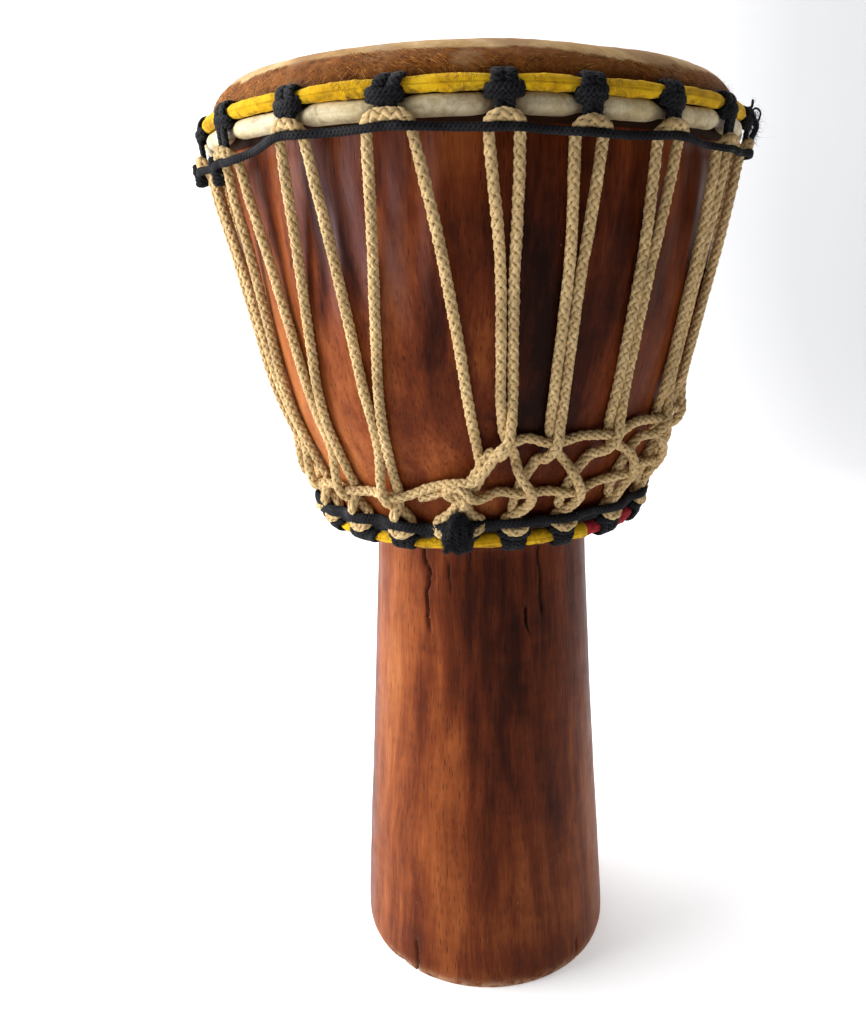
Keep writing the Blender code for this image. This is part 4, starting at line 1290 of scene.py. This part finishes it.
def build_knot():
    """A fuzzy ball knot: one cord wound over itself many ways."""
    soup = Soup()
    rng = np.random.default_rng(46)
    az = FOOT[KNOT] + 0.1
    radial, across = outward(az)
    centre = cyl(0.1240, az, 0.3632)
    axes = np.stack([radial, across, UP])
    tracks = []
    for i in range(9):
        pole = unit(rng.normal(0, 1, 3))
        first = unit(np.cross(pole, rng.normal(0, 1, 3)))
        second = np.cross(pole, first)
        q = np.linspace(0, TAU, 25)[:-1]
        ball = np.cos(q)[:, None] * first + np.sin(q)[:, None] * second
        ball = ball * rng.uniform(0.78, 1.04) + pole * rng.uniform(-0.45, 0.45)
        ball[:, 1] *= 1.0 - 0.38 * np.maximum(ball[:, 2], 0.0)
        points = centre + ball * (0.0062, 0.0080, 0.0096) @ axes
        tracks.append(cord(soup, points, ball @ axes, 0.0044, 0.0038, i, True))
    for end, length in ((-1, 0.004), (1, 0.003)):
        tail = [centre + across * end * 0.003 + radial * 0.004,
                centre + across * end * 0.005 + radial * 0.005 - 0.006 * UP,
                centre + across * end * 0.0055 + radial * 0.002
                - (0.006 + length * 0.6) * UP]
        tracks.append(cord(soup, tail, None, 0.0040, 0.0028, 20 + end))
    k = 700
    for p, *_ in tracks:
        i = rng.integers(0, len(p), k)
        out = unit(p[i] - centre)
        aim = unit(out + rng.normal(0, 0.6, (k, 3)))
        lift = unit(np.cross(aim, rng.normal(0, 1, (k, 3))))
        hairs(soup, p[i] + out * 0.0014, aim, lift, rng.uniform(0.0008, 0.0034, k),
              rng.uniform(0.00014, 0.00028, k), rng, 0.9, 3, rng.uniform(0.5, 1.0, k))
    soup.build("front_ball_knot", BLACK, ["bottom_cord_knot"])


def build_tassel():
    """Frayed cord ends at both sides of the crown ring."""
    soup = Soup()
    rng = np.random.default_rng(47)
    tracks = []
    for rows, width, thick, seed in FRAYED:
        tracks.append(cord(soup, [cyl(*row) for row in rows], None, width, thick, seed))
    toward = np.tile([0.15, -1.0, 0.0], (4, 1))
    for a, radius, top, low in ((-75.0, 0.1740, 0.5800, 0.5660), (-60.0, 0.1690, 0.5795, 0.5630)):
        flap = [cyl(radius, a, top), cyl(radius + 0.0008, a + 0.2, top - 0.004),
                cyl(radius, a + 0.6, (top + low) / 2), cyl(radius - 0.0006, a + 1.0, low)]
        tracks.append(cord(soup, flap, toward, 0.0074, 0.0024, 3))
    k = 360
    root = cyl(rng.uniform(0.1735, 0.1784, k), rng.uniform(78.8, 81.8, k),
               rng.uniform(0.5880, 0.6040, k))
    aim = unit(cyl(1.0, rng.uniform(60, 110, k), 0.0) * 0.35 - UP
               + rng.normal(0, 0.35, (k, 3)))
    lift = unit(np.cross(aim, rng.normal(0, 1, (k, 3))))
    hairs(soup, root, aim, lift, rng.uniform(0.0015, 0.0055, k),
          rng.uniform(0.00016, 0.00034, k), rng, 1.3, 4)
    rope_fuzz(soup, tracks, 500, rng, 0.0018, 0.0030)
    soup.build("frayed_ends", BLACK, ["crown_cord_tassel"])


build_crown_hitches()
build_foot_hitches()
build_cords()
build_knot()
build_tassel()

# ---------------------------------------------------------------- stage


def build_stage():
    """A floor that curves up into the far wall, with painted shade making it greyer high up at
    the right.
    """
    depth = [(-6.0, 0.0), (1.3, 0.0)]
    depth += [(1.3 + 0.9 * math.sin(a), 0.9 - 0.9 * math.cos(a))
              for a in np.linspace(0.1, math.pi / 2, 14)] + [(2.2, 4.0)]
    verts = [(x, y, z) for x in (-6.0, 6.0) for y, z in depth]
    n = len(depth)
    mesh = bpy.data.meshes.new("backdrop")
    mesh.from_pydata(verts, [], [(i, i + 1, n + i + 1, n + i) for i in range(n - 1)])
    for face in mesh.polygons:
        face.use_smooth = True
    w = Look("pale_paper", 0.9, Specular_IOR_Level=0.1, Emission_Color=(1.0, 1.0, 1.0),
             Emission_Strength=0.38)
    paper = w.ramp(w.noise(3.0, 3.0), [(0.3, (0.86, 0.86, 0.87)), (0.7, (0.89, 0.89, 0.895))])
    x, y, _ = w.split(w.here)
    # painted shade: the backdrop greys towards the right and the back
    right = w.times(w.math("SUBTRACT", x, 0.1), 1.2, True)
    back = w.times(w.math("SUBTRACT", y, 0.5), 1.0, True)
    w.finish(w.mix(w.times(right, back), paper, (0.51, 0.515, 0.530)))
    mesh.materials.append(w.mat)
    obj = bpy.data.objects.new("backdrop", mesh)
    bpy.context.scene.collection.objects.link(obj)
    obj.location.z = -0.0002


def area(name, place, aim, width, height, power, colour=(1, 1, 1)):
    light = bpy.data.lights.new(name, "AREA")
    light.shape, light.size, light.size_y = "RECTANGLE", width, height
    light.energy, light.color = power, colour
    obj = bpy.data.objects.new(name, light)
    obj.location = place
    obj.rotation_euler = (Vector(aim) - Vector(place)).to_track_quat("-Z", "Y").to_euler()
    bpy.context.scene.collection.objects.link(obj)


def build_lights():
    area("window", (-1.60, -0.30, 0.95), (0.0, 0.0, 0.36), 1.2, 1.4, 50.0)
    area("far_side", (1.50, 0.95, 0.80), (0.0, 0.0, 0.35), 0.9, 1.3, 3.2, (1.0, 0.90, 0.80))
    area("overhead", (-0.2, 0.3, 1.85), (0.0, 0.1, 0.2), 1.6, 1.2, 12.0)
    area("wall_wash", (-1.1, 0.9, 2.9), (-0.8, 2.2, 0.7), 2.4, 0.8, 45.0)
    world = bpy.data.worlds.new("studio")
    bpy.context.scene.world = world
    world.use_nodes = True
    tree = world.node_tree
    back = tree.nodes["Background"]
    coords = tree.nodes.new("ShaderNodeTexCoord")
    part = tree.nodes.new("ShaderNodeSeparateXYZ")
    ramp = tree.nodes.new("ShaderNodeValToRGB")
    tree.links.new(coords.outputs["Generated"], part.inputs[0])
    tree.links.new(part.outputs[1], ramp.inputs[0])
    ramp.color_ramp.elements[0].color = (0.13, 0.13, 0.135, 1)
    ramp.color_ramp.elements[1].color = (0.95, 0.95, 0.97, 1)
    tree.links.new(ramp.outputs[0], back.inputs[0])
    back.inputs[1].default_value = 0.85


def build_camera():
    forward = Vector((math.sin(PAN) * math.cos(PITCH), math.cos(PAN) * math.cos(PITCH),
                      -math.sin(PITCH)))
    right = Vector((math.cos(PAN), -math.sin(PAN), 0.0))
    up = right.cross(forward)
    r = right * math.cos(ROLLED) + up * math.sin(ROLLED)
    u = up * math.cos(ROLLED) - right * math.sin(ROLLED)
    camera = bpy.data.cameras.new("camera")
    camera.sensor_fit = "VERTICAL"
    camera.sensor_height = 36.0
    camera.lens = 30.204878
    camera.clip_start = 0.02
    obj = bpy.data.objects.new("camera", camera)
    place = Matrix((r, u, -forward)).transposed().to_4x4()
    place.translation = EYE
    obj.matrix_world = place
    bpy.context.scene.collection.objects.link(obj)
    bpy.context.scene.camera = obj


build_stage()
build_lights()
build_camera()
bpy.context.scene.view_settings.view_transform = "Standard"
